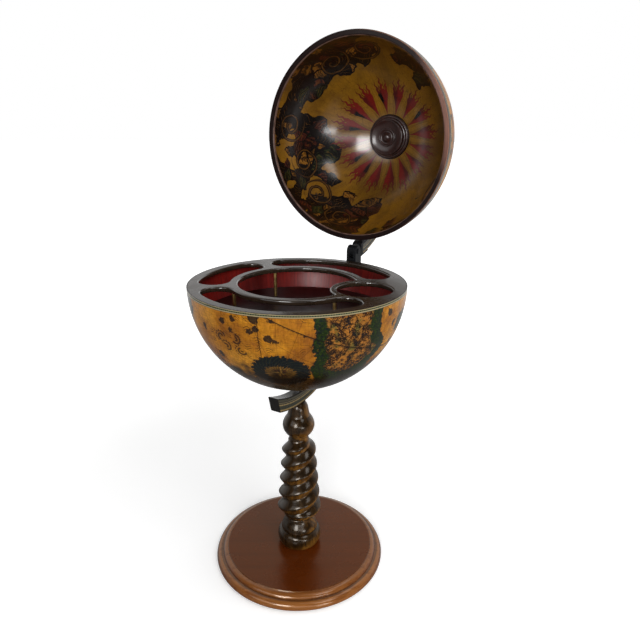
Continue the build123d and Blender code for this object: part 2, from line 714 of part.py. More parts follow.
with BuildPart() as lid_boss:
    with BuildSketch(through_pole(LID_CENTRE, LID_POLE)):
        with BuildLine():
            # back, with the pocket that clears the nut and the screws
            Polyline(
                boss_face(0, 16.2),
                (0, POCKET_END),
                (POCKET_NARROW, POCKET_END),
                (POCKET_NARROW, POCKET_STEP),
                (POCKET_WIDE, POCKET_STEP),
                (POCKET_WIDE, on_sphere(BOSS_BACK, POCKET_WIDE)),
            )
            ThreePointArc(
                (POCKET_WIDE, on_sphere(BOSS_BACK, POCKET_WIDE)),
                (29, on_sphere(BOSS_BACK, 29)),
                (BOSS_RADIUS, BOSS_EDGE),
            )
            # two beads at the edge
            Line((BOSS_RADIUS, BOSS_EDGE), boss_face(BOSS_RADIUS, 1.6))
            ThreePointArc(boss_face(BOSS_RADIUS, 1.6), boss_face(37.7, 3.7), boss_face(35.2, 4.2))
            Line(boss_face(35.2, 4.2), boss_face(35.0, 3.4))
            ThreePointArc(boss_face(35.0, 3.4), boss_face(34.4, 6.2), boss_face(32.2, 7.3))
            Line(boss_face(32.2, 7.3), boss_face(31.9, 6.4))
            # raised lip and dish
            Line(boss_face(31.9, 6.4), boss_face(31.0, 12.2))
            ThreePointArc(boss_face(31.0, 12.2), boss_face(30.3, 13.3), boss_face(29.0, 13.2))
            Spline(boss_face(29.0, 13.2), boss_face(23.0, 11.2), boss_face(16.2, 10.4))
            # ring round the nipple, hollow and nipple
            ThreePointArc(boss_face(16.2, 10.4), boss_face(14.6, 12.9), boss_face(12.8, 12.1))
            ThreePointArc(boss_face(12.8, 12.1), boss_face(10.8, 10.9), boss_face(8.8, 11.6))
            Spline(boss_face(8.8, 11.6), boss_face(6.0, 14.6), boss_face(0, 16.2))
        make_face()
    revolve(axis=Axis(LID_CENTRE, LID_POLE))
save(lid_boss.part, "lid_boss")

# ---- rack -----------------------------------------------------------------------------------

RACK_OUTER = GLOBE_RADIUS - RACK_LIP - RACK_PLAY
RACK_ROUNDING = 2.6
BAND_CORNER = 7.0
FLOOR_RADIUS = 148.0
FLOOR_THICKNESS = 5.0
RACK_ROD_RADIUS = 2.75
TENON_RADIUS = 1.8
TENON_LENGTH = 4.0
RACK_SCREW_RADIUS = 1.6

GLASS_SPOT = around(GLASS_REACH, GLASS_ANGLE)
RACK_BOTTOM = RIM_HEIGHT - RACK_THICKNESS
FLOOR_TOP = RIM_HEIGHT - RACK_DEPTH


with BuildPart() as rack_top:
    with BuildSketch(Plane.XY.offset(RACK_BOTTOM)) as rack_plan:
        Circle(RACK_OUTER)
        Circle(CENTRE_HOLE, mode=Mode.SUBTRACT)
        with Locations(GLASS_SPOT):
            Circle(GLASS_HOLE + GLASS_BAND)
        with Locations(GLASS_SPOT):
            Circle(GLASS_HOLE, mode=Mode.SUBTRACT)
        for first, last in SLOTS:
            SlotArc(
                CenterArc((0, 0), SLOT_MIDDLE, first, last - first, mode=Mode.PRIVATE),
                2 * SLOT_HALF_WIDTH,
                mode=Mode.SUBTRACT,
            )
        # the two inner corners where the glass holder's band meets the centre hole
        corners = [
            corner
            for corner in rack_plan.vertices()
            if abs(math.hypot(corner.X, corner.Y) - CENTRE_HOLE) < 0.1
        ]
        fillet(corners, BAND_CORNER)
    extrude(amount=RACK_THICKNESS)
    faces = rack_top.faces().filter_by(Axis.Z)
    openings = faces.sort_by(Axis.Z)[-1].inner_wires() + faces.sort_by(Axis.Z)[0].inner_wires()
    fillet([edge for wire in openings for edge in wire.edges()], RACK_ROUNDING)
    for angle in RACK_ROD_ANGLES:
        with Locations((*around(ROD_CIRCLE, angle), RACK_BOTTOM)):
            Cylinder(TENON_RADIUS, TENON_LENGTH, align=BOTTOM, mode=Mode.SUBTRACT)
save(rack_top.part, "rack_top")

with BuildPart() as rack_floor:
    with Locations((0, 0, FLOOR_TOP - FLOOR_THICKNESS)):
        Cylinder(FLOOR_RADIUS, FLOOR_THICKNESS, align=BOTTOM)
    fillet(rack_floor.edges(), 1.2)
    for angle in RACK_ROD_ANGLES:
        with Locations((*around(ROD_CIRCLE, angle), FLOOR_TOP - FLOOR_THICKNESS)):
            Cylinder(RACK_SCREW_RADIUS + 0.1, 20, mode=Mode.SUBTRACT)
save(rack_floor.part, "rack_floor")

with BuildPart() as rack_rods:
    for angle in RACK_ROD_ANGLES:
        with Locations((*around(ROD_CIRCLE, angle), FLOOR_TOP)):
            Cylinder(RACK_ROD_RADIUS, RACK_BOTTOM - FLOOR_TOP, align=BOTTOM)
            Cylinder(
                TENON_RADIUS - 0.02, RACK_BOTTOM - FLOOR_TOP + TENON_LENGTH - 0.3, align=BOTTOM
            )
            Cylinder(RACK_SCREW_RADIUS, 10, align=BOTTOM, mode=Mode.SUBTRACT)
save(rack_rods.part, "rack_rods")

with BuildPart() as rack_rod_screws:
    for angle in RACK_ROD_ANGLES:
        with Locations((*around(ROD_CIRCLE, angle), FLOOR_TOP - FLOOR_THICKNESS)):
            Cylinder(RACK_SCREW_RADIUS - 0.02, FLOOR_THICKNESS + 9, align=BOTTOM)
            Cylinder(2 * RACK_SCREW_RADIUS, 1.6, align=TOP)
save(rack_rod_screws.part, "rack_rod_screws")
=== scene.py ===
import json
import math
from types import SimpleNamespace

import bpy
from mathutils import Matrix, Vector


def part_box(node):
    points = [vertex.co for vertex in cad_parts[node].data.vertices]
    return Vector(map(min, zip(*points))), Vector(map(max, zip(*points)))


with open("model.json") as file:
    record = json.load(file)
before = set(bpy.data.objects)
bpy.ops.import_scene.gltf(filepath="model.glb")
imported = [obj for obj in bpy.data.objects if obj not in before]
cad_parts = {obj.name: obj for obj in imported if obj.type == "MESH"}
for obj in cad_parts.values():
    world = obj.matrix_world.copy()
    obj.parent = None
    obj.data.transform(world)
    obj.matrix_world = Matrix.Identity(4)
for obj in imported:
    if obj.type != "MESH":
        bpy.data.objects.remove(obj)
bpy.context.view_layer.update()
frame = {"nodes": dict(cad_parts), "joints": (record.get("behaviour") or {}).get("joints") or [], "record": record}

# A tabletop globe bar: a printed globe whose lower half holds a lacquered rack, on a turned and
# rope-twisted column. The upper half hangs open on a curved arm behind it. Lengths are in metres,
# and the prints are drawn in mm.

# ---- places that come with the frame ----

MM = 0.001
TURN = 2 * math.pi
JOINTS = {joint["name"]: joint for joint in frame["joints"]}
BOWL_CENTRE = Vector(JOINTS["bowl_spin"]["pos_m"])
BOWL_POLE = Vector((0, 0, -1))
LID_CENTRE = Vector(JOINTS["lid_spin"]["pos_m"])
LID_POLE = Vector(JOINTS["lid_spin"]["axis"]).normalized()
ACROSS = Vector((1, 0, 0))
LID_DOWN = ACROSS.cross(LID_POLE)
GLOBE_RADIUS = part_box("bowl_shell")[1].x
GLOBE_MM = GLOBE_RADIUS / MM
SHELL_WALL = 6 * MM
INNER_RADIUS = GLOBE_RADIUS - SHELL_WALL
INNER_MM = INNER_RADIUS / MM
# Where the lining gives way to the outer finish, inside the shell's wall.
LINING_ENDS = (INNER_RADIUS + 2.6 * MM, INNER_RADIUS + 2.2 * MM)
RIM_RING_INNER = 156.4
RIM_RING_OUTER = 164.2
RIM_RING_HEIGHT = 7.6
# The side of the lid's rim ring that gets painted sheen and highlight, and edge wear.
SHEEN_AND_WEAR_SIDE = (ACROSS + LID_DOWN * 0.27).normalized()
ARM_INNER = 180 * MM
ARM_OUTER_POLE = 201.4 * MM
ARM_THINNING = 0.03 * MM
BASE_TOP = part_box("base_disc")[1].z
BASE_GROOVE = BASE_TOP / MM - 7.8
BASE_SEAM = 124.6

# ---- camera ----

CAMERA_PLACE = Vector((0.4513, -0.7153, 0.719))
CAMERA_FORWARD = Vector((-0.4722, 0.82032, -0.32266))
CAMERA_UP = Vector((-0.16609, 0.27668, 0.9465))
CAMERA_LENS = 32.345
CAMERA_SHIFT = 0.0035
FRONT = math.degrees(math.atan2(CAMERA_PLACE.y, CAMERA_PLACE.x))


def towards(azimuth, elevation):
    """A direction from its bearing and rise, in degrees."""
    turn, rise = math.radians(azimuth), math.radians(elevation)
    level = math.cos(rise)
    return Vector((level * math.cos(turn), level * math.sin(turn), math.sin(rise)))


def set_camera():
    """The camera, above the globe's rim and looking down a little, in front and to its right."""
    lens = bpy.data.cameras.new("camera")
    lens.lens = CAMERA_LENS
    lens.sensor_width = 36
    lens.shift_y = CAMERA_SHIFT
    lens.clip_start = 0.01
    lens.clip_end = 100
    camera = bpy.data.objects.new("camera", lens)
    bpy.context.scene.collection.objects.link(camera)
    forward = CAMERA_FORWARD.normalized()
    right = forward.cross(CAMERA_UP).normalized()
    camera.matrix_world = Matrix((right, right.cross(forward), -forward)).transposed().to_4x4()
    camera.location = CAMERA_PLACE
    bpy.context.scene.camera = camera


# ---- the bench: a short way to write shader nodes ----

GIVE_NUMBERS = ("DOT_PRODUCT", "LENGTH", "DISTANCE")


def reckoning(operation, swapped=False):
    """A method that adds one node of arithmetic; swapped puts the method's own value last."""

    def method(self, *others):
        values = (*others, self) if swapped else (self, *others)
        return self.bench.calc(operation, *values)

    return method


class Value:
    """A number, vector or colour that changes over a surface. Arithmetic on it makes nodes."""

    def __init__(self, bench, socket):
        self.bench = bench
        self.socket = socket

    __add__ = reckoning("ADD")
    __sub__ = reckoning("SUBTRACT")
    __mul__ = reckoning("MULTIPLY")
    __truediv__ = reckoning("DIVIDE")
    __pow__ = reckoning("POWER")
    __radd__ = reckoning("ADD", swapped=True)
    __rsub__ = reckoning("SUBTRACT", swapped=True)
    __rmul__ = reckoning("MULTIPLY", swapped=True)
    __rtruediv__ = reckoning("DIVIDE", swapped=True)
    __abs__ = reckoning("ABSOLUTE")
    root = reckoning("SQRT")
    sin = reckoning("SINE")
    cos = reckoning("COSINE")
    arccos = reckoning("ARCCOSINE")
    arctan2 = reckoning("ARCTAN2")
    floor = reckoning("FLOOR")
    fraction = reckoning("FRACT")
    most = reckoning("MAXIMUM")
    smooth_most = reckoning("SMOOTH_MAX")
    dot = reckoning("DOT_PRODUCT")
    cross = reckoning("CROSS_PRODUCT")
    distance = reckoning("DISTANCE")
    length = reckoning("LENGTH")
    unit = reckoning("NORMALIZE")

    def split(self):
        return self.bench.all("ShaderNodeSeparateXYZ", {0: self})

    def scaled(self, factor):
        """A vector made longer or a colour made lighter by a number."""
        inputs = {0: self, "Scale": factor}
        return self.bench.one("ShaderNodeVectorMath", "Vector", inputs, operation="SCALE")

    def centred(self):
        """How far the number is past the middle between two whole numbers, -0.5 to 0.5."""
        return self.fraction() - 0.5

    def rise(self, low, high):
        """0 below low, 1 above high, smooth between. With low above high it falls instead."""
        ends = (high, low, 1, 0) if low > high else (low, high, 0, 1)
        inputs = {"Value": self, **dict(zip(("From Min", "From Max", "To Min", "To Max"), ends))}
        return self.bench.one(
            "ShaderNodeMapRange", "Result", inputs, interpolation_type="SMOOTHSTEP"
        )

    def line(self, half_width, soft=0.35):
        """1 where the number is within half_width of zero, with a soft edge."""
        return abs(self).rise(half_width * (1 + soft), half_width * (1 - soft))

    def blend(self, under, over):
        """Colour over laid on colour under, as far as this mask says."""
        inputs = {"Factor": self, "A": under, "B": over}
        return self.bench.one("ShaderNodeMix", "Result", inputs, data_type="RGBA")

    def noise(self, scale, detail=2, roughness=0.5, distortion=0):
        inputs = {"Vector": self, "Scale": scale, "Detail": detail, "Roughness": roughness}
        inputs["Distortion"] = distortion
        return self.bench.one("ShaderNodeTexNoise", "Fac", inputs)

    def drift(self, scale, amount, detail=2):
        """The vector moved by a noise, so that edges and lines drawn with it waver."""
        inputs = {"Vector": self, "Scale": scale, "Detail": detail}
        noise = self.bench.one("ShaderNodeTexNoise", "Color", inputs)
        return self + (noise - (0.5, 0.5, 0.5)).scaled(amount)

    def cells(self, scale, feature="F1"):
        """Scattered cells: color is a cell's own chance, and position is its middle."""
        inputs = {"Vector": self, "Scale": scale}
        return self.bench.named("ShaderNodeTexVoronoi", inputs, feature=feature)

    def chance(self):
        """Three random numbers, from 0 to 1, that belong to a cell."""
        return self.bench.one("ShaderNodeTexWhiteNoise", "Color", {"Vector": self}).split()


class Bench:
    """Adds nodes to one material or group, and joins them up."""

    def __init__(self, tree):
        self.tree = tree

    def add(self, kind, inputs=None, **settings):
        """A node with its settings, then its inputs by name or number."""
        node = self.tree.nodes.new(kind)
        for name, value in settings.items():
            setattr(node, name, value)
        for name, value in (inputs or {}).items():
            self.feed(node.inputs[name], value)
        return node

    def feed(self, socket, value):
        """Join a number, a colour or a vector to a socket, or write a constant on it."""
        if isinstance(value, Value):
            self.tree.links.new(value.socket, socket)
        elif socket.type == "RGBA":
            socket.default_value = (*value, 1)
        else:
            socket.default_value = value

    def one(self, kind, output, inputs=None, **settings):
        """One output of a new node."""
        return Value(self, self.add(kind, inputs, **settings).outputs[output])

    def all(self, kind, inputs=None, **settings):
        """Every output of a new node, in order."""
        return [Value(self, socket) for socket in self.add(kind, inputs, **settings).outputs]

    def named(self, kind, inputs=None, **settings):
        """Every output of a new node, by its name in small letters."""
        values = self.all(kind, inputs, **settings)
        return SimpleNamespace(
            **{value.socket.name.lower().replace(" ", "_"): value for value in values}
        )

    def calc(self, operation, *values):
        """One node of arithmetic: on vectors if the first value is a vector or a colour."""
        inputs = dict(enumerate(values))
        if not isinstance(values[0], Value) or values[0].socket.type == "VALUE":
            return self.one("ShaderNodeMath", 0, inputs, operation=operation)
        output = "Value" if operation in GIVE_NUMBERS else "Vector"
        return self.one("ShaderNodeVectorMath", output, inputs, operation=operation)

    def join(self, x, y, z):
        return self.one("ShaderNodeCombineXYZ", 0, {0: x, 1: y, 2: z})

    def place(self):
        """Where the point is on the object, in metres, in the frame at rest."""
        return self.one("ShaderNodeTexCoord", "Object")

    def facing(self):
        """Which way the surface faces, in the frame at rest."""
        return self.one("ShaderNodeTexCoord", "Normal")

    def use(self, group, place, **inputs):
        """A group node's outputs by name. place feeds its first input."""
        return self.named("ShaderNodeGroup", {0: place, **inputs}, node_tree=group)


class Finish(Bench):
    """A bench on a material of its own."""

    def __init__(self, name):
        self.material = bpy.data.materials.new(name)
        self.material.use_nodes = True
        super().__init__(self.material.node_tree)
        self.tree.nodes.clear()

    def paint(self, relief=None, **inputs):
        """The material, from its shader's inputs. relief: a height, its depth and its strength."""
        inputs = {label.replace("_", " "): value for label, value in inputs.items()}
        if relief:
            height, depth, strength = relief
            bump = {"Height": height, "Distance": depth, "Strength": strength}
            inputs["Normal"] = self.one("ShaderNodeBump", "Normal", bump)
        shader = self.one("ShaderNodeBsdfPrincipled", "BSDF", inputs)
        self.add("ShaderNodeOutputMaterial", {"Surface": shader})
        return self.material


def coats(colour, *layers):
    """A colour with others laid on it in turn, each as far as its mask says."""
    for mask, over in layers:
        colour = mask.blend(colour, over)
    return colour


def new_group(name, draw, **inputs):
    """A shader group that draw fills. Its inputs start from a number; None makes a vector."""
    tree = bpy.data.node_groups.new(name, "ShaderNodeTree")
    for label, start in inputs.items():
        kind = "NodeSocketVector" if start is None else "NodeSocketFloat"
        socket = tree.interface.new_socket(label, in_out="INPUT", socket_type=kind)
        if start is not None:
            socket.default_value = start
    bench = Bench(tree)
    given = bench.all("NodeGroupInput")
    outputs = draw(bench, *given[: len(inputs)])
    for label, value in outputs.items():
        kind = "NodeSocketFloat" if value.socket.type == "VALUE" else "NodeSocketColor"
        tree.interface.new_socket(label, in_out="OUTPUT", socket_type=kind)
    bench.add("NodeGroupOutput", outputs)
    return tree


# ---- effects that several finishes share ----


def draw_grain(bench, place, band, stretch):
    """Wood grain along Z: slow bands, fine streaks and short dark pores."""
    x, y, z = place.split()
    laid = bench.join(x, y, z * stretch)
    across = laid.drift(9, 0.012, 3).split()
    rings = bench.join(across[0], across[1], across[2] * 0.5).noise(60, 3, 0.6, 0.4)
    bands = ((rings * band).sin() + 1) * 0.5
    streaks = laid.noise(420, 4, 0.65)
    fine = laid.noise(1500)
    return {"figure": bands * 0.35 + streaks * 0.65, "pores": fine.rise(0.62, 0.72)}


def draw_handling(bench, place):
    """Marks of use on varnish: smears that dull it, fine scratches, and dust that settles."""
    smear = place.drift(14, 0.05).noise(17, 4, 0.6)
    x, y, z = place.drift(6, 0.03).split()
    long_way = bench.join(x * 0.05, y, z).noise(900).rise(0.7, 0.76)
    cross_way = bench.join(x, y * 0.06, z * 0.06).noise(800).rise(0.71, 0.77)
    up = bench.facing().split()[2]
    specks = place.noise(2600, 1).rise(0.6, 0.72)
    drifted = place.noise(21, 3, 0.6).rise(0.35, 0.75)
    return {
        "smear": smear.rise(0.42, 0.74),
        "scratch": long_way.most(cross_way),
        "dust": specks * drifted * up.rise(0.3, 0.95),
    }


def draw_edge_wear(bench, place, reach):
    """Where corners are rubbed: the rounded normal differs from the flat one there."""
    rounded = bench.one("ShaderNodeBevel", "Normal", {"Radius": reach}, samples=4)
    plain = bench.one("ShaderNodeNewGeometry", "Normal")
    edge = (1 - rounded.dot(plain)).rise(0.02, 0.22)
    patches = place.noise(130, 4, 0.7)
    return {"edge": edge, "worn": edge * patches.rise(0.42, 0.62)}


def draw_paper(bench, place):
    """Old paper under varnish: crossed fibres, brown spots, slow stains and crackle."""
    x, y, z = place.split()
    level = bench.join(x, y, z * 8).noise(260, 3, 0.6)
    upright = bench.join(x * 3, y * 3, z * 0.35).noise(330, 3, 0.6)
    veins = place.drift(60, 0.012).cells(85, "DISTANCE_TO_EDGE")
    return {
        "fibre": level * 0.5 + upright * 0.5,
        "stain": place.drift(7, 0.1).noise(11, 5, 0.62),
        "spots": place.noise(210, 3, 0.6).rise(0.64, 0.74),
        "crackle": veins.distance.rise(0.03, 0),
    }


GRAIN = new_group("wood_grain", draw_grain, place=None, band=22, stretch=0.06)
HANDLING = new_group("handling", draw_handling, place=None)
EDGE_WEAR = new_group("edge_wear", draw_edge_wear, place=None, reach=0.0012)
PAPER = new_group("old_paper", draw_paper, place=None)


def worn(place, reach=0.0012):
    """Where corners are rubbed in patches, as a mask that reaches that far from them."""
    return place.bench.use(EDGE_WEAR, place, reach=reach).worn


# ---- the printed map ----

OCHRE = (0.43, 0.16, 0.006)
OCHRE_PALE = (0.49, 0.215, 0.018)
OCHRE_DEEP = (0.2, 0.066, 0.009)
LAND = (0.285, 0.113, 0.018)
LAND_WARM = (0.34, 0.13, 0.018)
LAND_DULL = (0.13, 0.095, 0.018)
SEA_GREEN = (0.006, 0.012, 0.0018)
LEAF_GREEN = (0.017, 0.033, 0.0036)
INK = (0.007, 0.005, 0.004)
BLUE_BLACK = (0.005, 0.008, 0.009)
ISLE_BROWN = (0.014, 0.008, 0.005)
CREAM = (0.34, 0.275, 0.15)
BAND_GREEN = (0.008, 0.015, 0.009)


def on_globe(turn_right, down):
    """The direction of a spot on the print, in degrees from the front and below the rim."""
    return towards(FRONT + turn_right, -down)


# Each coast is a few round lobes: degrees to the right of the front, degrees down, radius in mm.
LAND_LOBES = (
    (25, 1, 50), (25, 15, 49), (27, 29, 46), (29, 42, 37), (40, 24, 26), (66, 14, 16),
    (-96, 12, 44), (-80, 30, 34), (-108, 40, 30), (-72, 8, 20),
    (158, 14, 52), (176, 34, 42), (138, 30, 30), (120, 8, 22), (-152, 18, 26),
    (0, 88, 44), (60, 70, 26), (-110, 66, 24), (-40, 66, 20),
)
# Small dark islands, in the same way.
ISLES = (
    (-37, 6, 5), (-31, 4, 4.8), (-33, 10, 4.6), (-23, 9, 5), (-14, 12.5, 6),
    (-20, 2, 8.5), (-19.5, 8, 5.5), (-12, 3, 4), (-10.5, 13.5, 4), (-52, 12, 5),
    (-46, 27, 5.5), (-42, 38, 8), (-52, 44, 8), (-60, 34, 7), (50, 5, 5),
    (56, 12, 5.5), (50, 22, 4.5), (60, 24, 5), (72, 30, 7), (84, 8, 6), (3, 10.5, 2.6),
)
SEA_CURLS = (
    (-40, 15), (-38, 20), (-31, 15), (-29, 21), (-52, 34), (80, 20), (110, 52), (-130, 30),
)
COAST_MERGE = 9
CAPE_MERIDIAN = -18.5
ROSE_SPOTS = ((-10, 34), (98, 34))
ROSE_RING = 25
ROSE_REACH = (ROSE_RING + 24, ROSE_RING + 22)
ECLIPTIC_POLE = on_globe(-108, 64)


def blobs(direction, spots, merge):
    """How far, in mm, a direction is inside the nearest of some round spots."""
    inside = None
    for turn_right, down, size in spots:
        lobe = size - direction.distance(on_globe(turn_right, down)) * GLOBE_MM
        inside = lobe if inside is None else merge(inside, lobe)
    return inside


def compass_frame(direction, spot):
    """Distance in mm and angle round a spot on the globe, for what is drawn round it."""
    centre = on_globe(*spot)
    level = Vector((0, 0, 1)).cross(centre).normalized()
    u = direction.dot(level)
    v = direction.dot(centre.cross(level))
    reach = (u * u + v * v).root()
    away = reach.arctan2(direction.dot(centre)) * GLOBE_MM
    return away, v.arctan2(u), reach


def rhumb_lines(angle, reach, count=16):
    """Thin straight courses that leave a rose in every wind."""
    sector = TURN / count
    off = (angle / sector + 0.5).centred() * sector
    return (off * reach * GLOBE_MM).line(0.28)


def star(angle, away, points, size, waist, turn):
    """A star of straight points. Gives its mask and the half of each point that is dark."""
    sector = TURN / points
    off = ((angle + turn) / sector + 0.5).centred()
    edge = size / (1 + abs(off) * (2 * (size / waist - 1)))
    return (away - edge).rise(0.4, -0.4), off.rise(-0.004, 0.004)


# The stars of a rose: points, size and waist in mm, turn, and ink.
ROSE_STARS = (
    (8, 14, 4.2, math.pi / 8, (0.06, 0.04, 0.01)),
    (4, 13, 5, math.pi / 4, (0.06, 0.012, 0.005)),
    (4, 16, 4.6, 0, (0.23, 0.115, 0.02)),
)


def draw_rose(colour, away, angle, rough_edge):
    """A wind rose: a dark leafy wreath round a brown disc with stars in ochre and red."""
    sides = abs(angle.cos())
    wreath = away - sides * sides * 6 - ROSE_RING
    leaves = abs((angle * 13).sin()) ** 0.6 * 3
    ring = (8.2 + leaves + (rough_edge - 0.5) * 16 - abs(wreath)).rise(0, 1)
    disc = (away - sides * sides * 5 - ROSE_RING + 6).rise(0.5, -0.5)
    engraved = ((angle * 24).sin() * 0.5 + rough_edge * 2).rise(0.9, 1.3)
    ground = (engraved * 0.6).blend((0.135, 0.066, 0.012), (0.045, 0.022, 0.006))
    leaf_light = ((angle * 26 + away * 0.9).sin() * rough_edge).rise(0.34, 0.48)
    dark = (leaf_light * 0.7).blend(BLUE_BLACK, (0.024, 0.023, 0.01))
    rose = coats(colour, (disc, ground), (ring, dark))
    for points, size, waist, turn, bright in ROSE_STARS:
        shape, dark_half = star(angle, away, points, size, waist, turn)
        rose = coats(rose, (shape * 0.8, bright), (shape * dark_half * 0.9, INK))
    return away.rise(*ROSE_REACH).blend(colour, rose)


def sea_curl(direction, spot):
    """A curled wave in ink: a short spiral with a frayed outer edge."""
    away, angle, _ = compass_frame(direction, spot)
    stem = (away / 5 - angle / TURN).centred()
    frayed = abs((angle * 6).sin()) * 3.2
    side = (angle + spot[0]).cos().rise(-0.7, -0.3)
    return stem.line(0.32, 0.3) * (away - 7.5 - frayed).rise(0.6, -0.6) * side


def hill_marks(bench, u, v, width, height, share):
    """Engraved hills in a staggered pattern: an arc with a hatched flank."""
    row = (v / height).floor()
    shifted = u / width + row * 0.5
    first, second, third = bench.join(shifted.floor(), row, 3).chance()
    x = shifted.centred() + (first - 0.5) * 0.35
    y = (v / height).fraction() - 0.42 + (second - 0.5) * 0.4
    crest = 0.26 - x * x * (2.2 + first * 2)
    inside = abs(x).rise(0.36, 0.32)
    arc = (y - crest).line(0.075) * inside
    hatch = ((x - y * 0.5) * 9).centred().line(0.2)
    flank = (crest - y).rise(0, 0.06) * x.rise(0, 0.04) * y.rise(-0.24, -0.18) * inside
    return arc.most(flank * hatch) * third.rise(1 - share, 1.02 - share)


def stroke_marks(bench, u, v, size, share):
    """Short curved strokes in groups, for open water and fields."""
    first, second, third = bench.join((u / size).floor(), (v / size).floor(), 11).chance()
    x = (u / size).centred()
    y = (v / size).centred() + x * (first - 0.5) * 1.6
    curl = (x * 9 + second * 6).sin() * 0.07
    rows = ((y + curl) * 4).centred()
    blob = (x * x + y * y).rise(0.16, 0.09)
    return rows.line(0.13) * blob * third.rise(1 - share, 1.01 - share)


def off_grid(bearing):
    """How far a bearing is, in radians, from the nearest line of a graticule of 15 degrees."""
    return (bearing * (12 / math.pi) + 0.5).centred() * (math.pi / 12)


def draw_map(bench, still):
    """The printed map, drawn on the direction of a point from the globe's centre."""
    direction = still.drift(14, 0.012)
    x, y, z = direction.split()
    # longitude from the front, latitude, and a flat pattern of them in mm
    turned = math.radians(FRONT)
    ahead = x * math.cos(turned) + y * math.sin(turned)
    right = y * math.cos(turned) - x * math.sin(turned)
    longitude = right.arctan2(ahead)
    level = (x * x + y * y).root()
    latitude = z.arctan2(level)
    u = longitude * level * GLOBE_MM
    v = latitude * GLOBE_MM
    paper = bench.use(PAPER, still.scaled(GLOBE_RADIUS))
    # distance inside the coast, in mm
    capes = still.noise(5, 6, 0.62)
    inlets = still.noise(21, 4, 0.65) - 0.5
    ragged = abs(longitude - 0.4).rise(0.6, 1.1) * 34 + 24
    inside = blobs(direction, LAND_LOBES, lambda one, other: one.smooth_most(other, COAST_MERGE))
    inside = inside + (capes - 0.5) * ragged + inlets * 15
    # islands: those of the table, and scattered ones on the far side
    isles = (blobs(direction, ISLES, Value.most) + inlets * 18).rise(-0.4, 0.6)
    sea = still.drift(24, 0.05).cells(7.3)
    lot = sea.color.split()
    isle_size = lot[1] * 0.14 + 0.13
    isle = (isle_size - sea.distance).rise(-0.02, 0.03) * lot[0].rise(0.6, 0.61)
    isle = (isle * abs(longitude).rise(1.05, 1.2)).most(isles) * inside.rise(-8, -14)
    # open water: its ground, strokes and curled waves
    clouds = still.noise(6, 5, 0.66, 0.6)
    near_coast = inside.rise(-16, -2) * clouds.rise(0.35, 0.55)
    waves = stroke_marks(bench, u, v, 15, 0.22) * inside.rise(-6, -16)
    for spot in SEA_CURLS:
        waves = waves.most(sea_curl(direction, spot))
    water = coats(
        paper.stain.rise(0.34, 0.66).blend(OCHRE, OCHRE_PALE),
        (paper.stain.rise(0.54, 0.3), OCHRE_DEEP),
        (clouds.rise(0.52, 0.7) * 0.55, OCHRE_DEEP),
        (near_coast * 0.5, OCHRE_DEEP),
        (waves * 0.85, INK),
    )
    # land, its hills, scrub and rivers
    fields = still.noise(9, 4, 0.6)
    hills = hill_marks(bench, u, v, 9, 6.4, 0.8)
    thicket = still.drift(50, 0.05).noise(40, 2, 0.6, 1.6)
    crowded = still.noise(13)
    scrub = abs(thicket - 0.5).rise(0.072, 0.06) * crowded.rise(0.43, 0.49)
    scrub = scrub.most((thicket + (crowded - 0.5) * 0.5).rise(0.565, 0.58))
    rivers = still.drift(16, 0.12, 4).cells(4.6, "DISTANCE_TO_EDGE")
    soil = coats(
        fields.rise(0.4, 0.62).blend(LAND, LAND_WARM),
        (fields.rise(0.46, 0.34), LAND_DULL),
        (hills * 0.96, INK),
        (scrub * 0.96, INK),
        (rivers.distance.rise(0.016, 0.008) * 0.9, BLUE_BLACK),
    )
    # green coast with dark flecks, and its edges
    mottle = still.noise(60, 4, 0.7, 1)
    coast = coats(
        mottle.rise(0.42, 0.6).blend(SEA_GREEN, LEAF_GREEN),
        (mottle.rise(0.52, 0.4), BLUE_BLACK),
    )
    far_south = latitude.rise(-0.52, -0.7) * 26
    band = inside.rise(-3, -1) * (inside - far_south).rise(18, 14)
    shore = (inside + 1.5).line(0.9, 0.6)
    blotch = mottle.rise(0.5, 0.6).blend(ISLE_BROWN, (0.034, 0.02, 0.008))
    # courses, the graduated circle and the graticule
    off_land = inside.rise(30, 0) * 0.5 + 0.5
    roses = [compass_frame(still, spot) for spot in ROSE_SPOTS]
    courses = [rhumb_lines(angle, reach) for away, angle, reach in roses]
    courses = courses[0].most(courses[1])
    tilt = still.dot(ECLIPTIC_POLE) * GLOBE_MM
    grade = (longitude * (180 / math.pi) / 2).centred().rise(-0.02, 0.02)
    circle = tilt.line(0.85, 0.3).most((tilt - 1.8).line(0.22) * 0.7)
    circle = circle.most((tilt - 1.2).line(0.6) * grade * 0.5)
    cape_line = (longitude - math.radians(CAPE_MERIDIAN)) * level * GLOBE_MM
    cape_line = (cape_line + inlets * 2).line(0.55, 0.3) * latitude.rise(-0.62, -0.6)
    circle = circle.most(cape_line * abs(longitude).rise(0.6, 0.5))
    meridian = (off_grid(longitude) * level * GLOBE_MM).line(0.2)
    graticule = meridian.most((off_grid(latitude) * GLOBE_MM).line(0.2))
    colour = coats(
        water,
        (inside.rise(8, 11), soil),
        (band, coast),
        (shore * 0.8, BLUE_BLACK),
        (isle * 0.95, blotch),
        (courses * off_land * 0.62, INK),
        (circle * 0.92, INK),
        (graticule * 0.35, INK),
    )
    rough_edge = still.noise(40, 4, 0.7)
    for away, angle, reach in roses:
        colour = draw_rose(colour, away, angle, rough_edge)
    # age
    warp = bench.join(u * 0.42, v * 0.07, 1).noise(1, 3, 0.65) - 0.5
    weft = bench.join(u * 0.09, v * 0.4, 7).noise(1, 3, 0.65) - 0.5
    weave = (u * 5.4).sin() * 0.05 + (v * 5.4).sin() * 0.05 + warp * 1.1 + weft * 1.2
    colour = coats(
        colour.scaled(paper.fibre + 0.5 + weave),
        (paper.spots * 0.35, OCHRE_DEEP),
        (paper.crackle * 0.25, INK),
    )
    return {"colour": colour}


MAP = new_group("map_print", draw_map, direction=None)


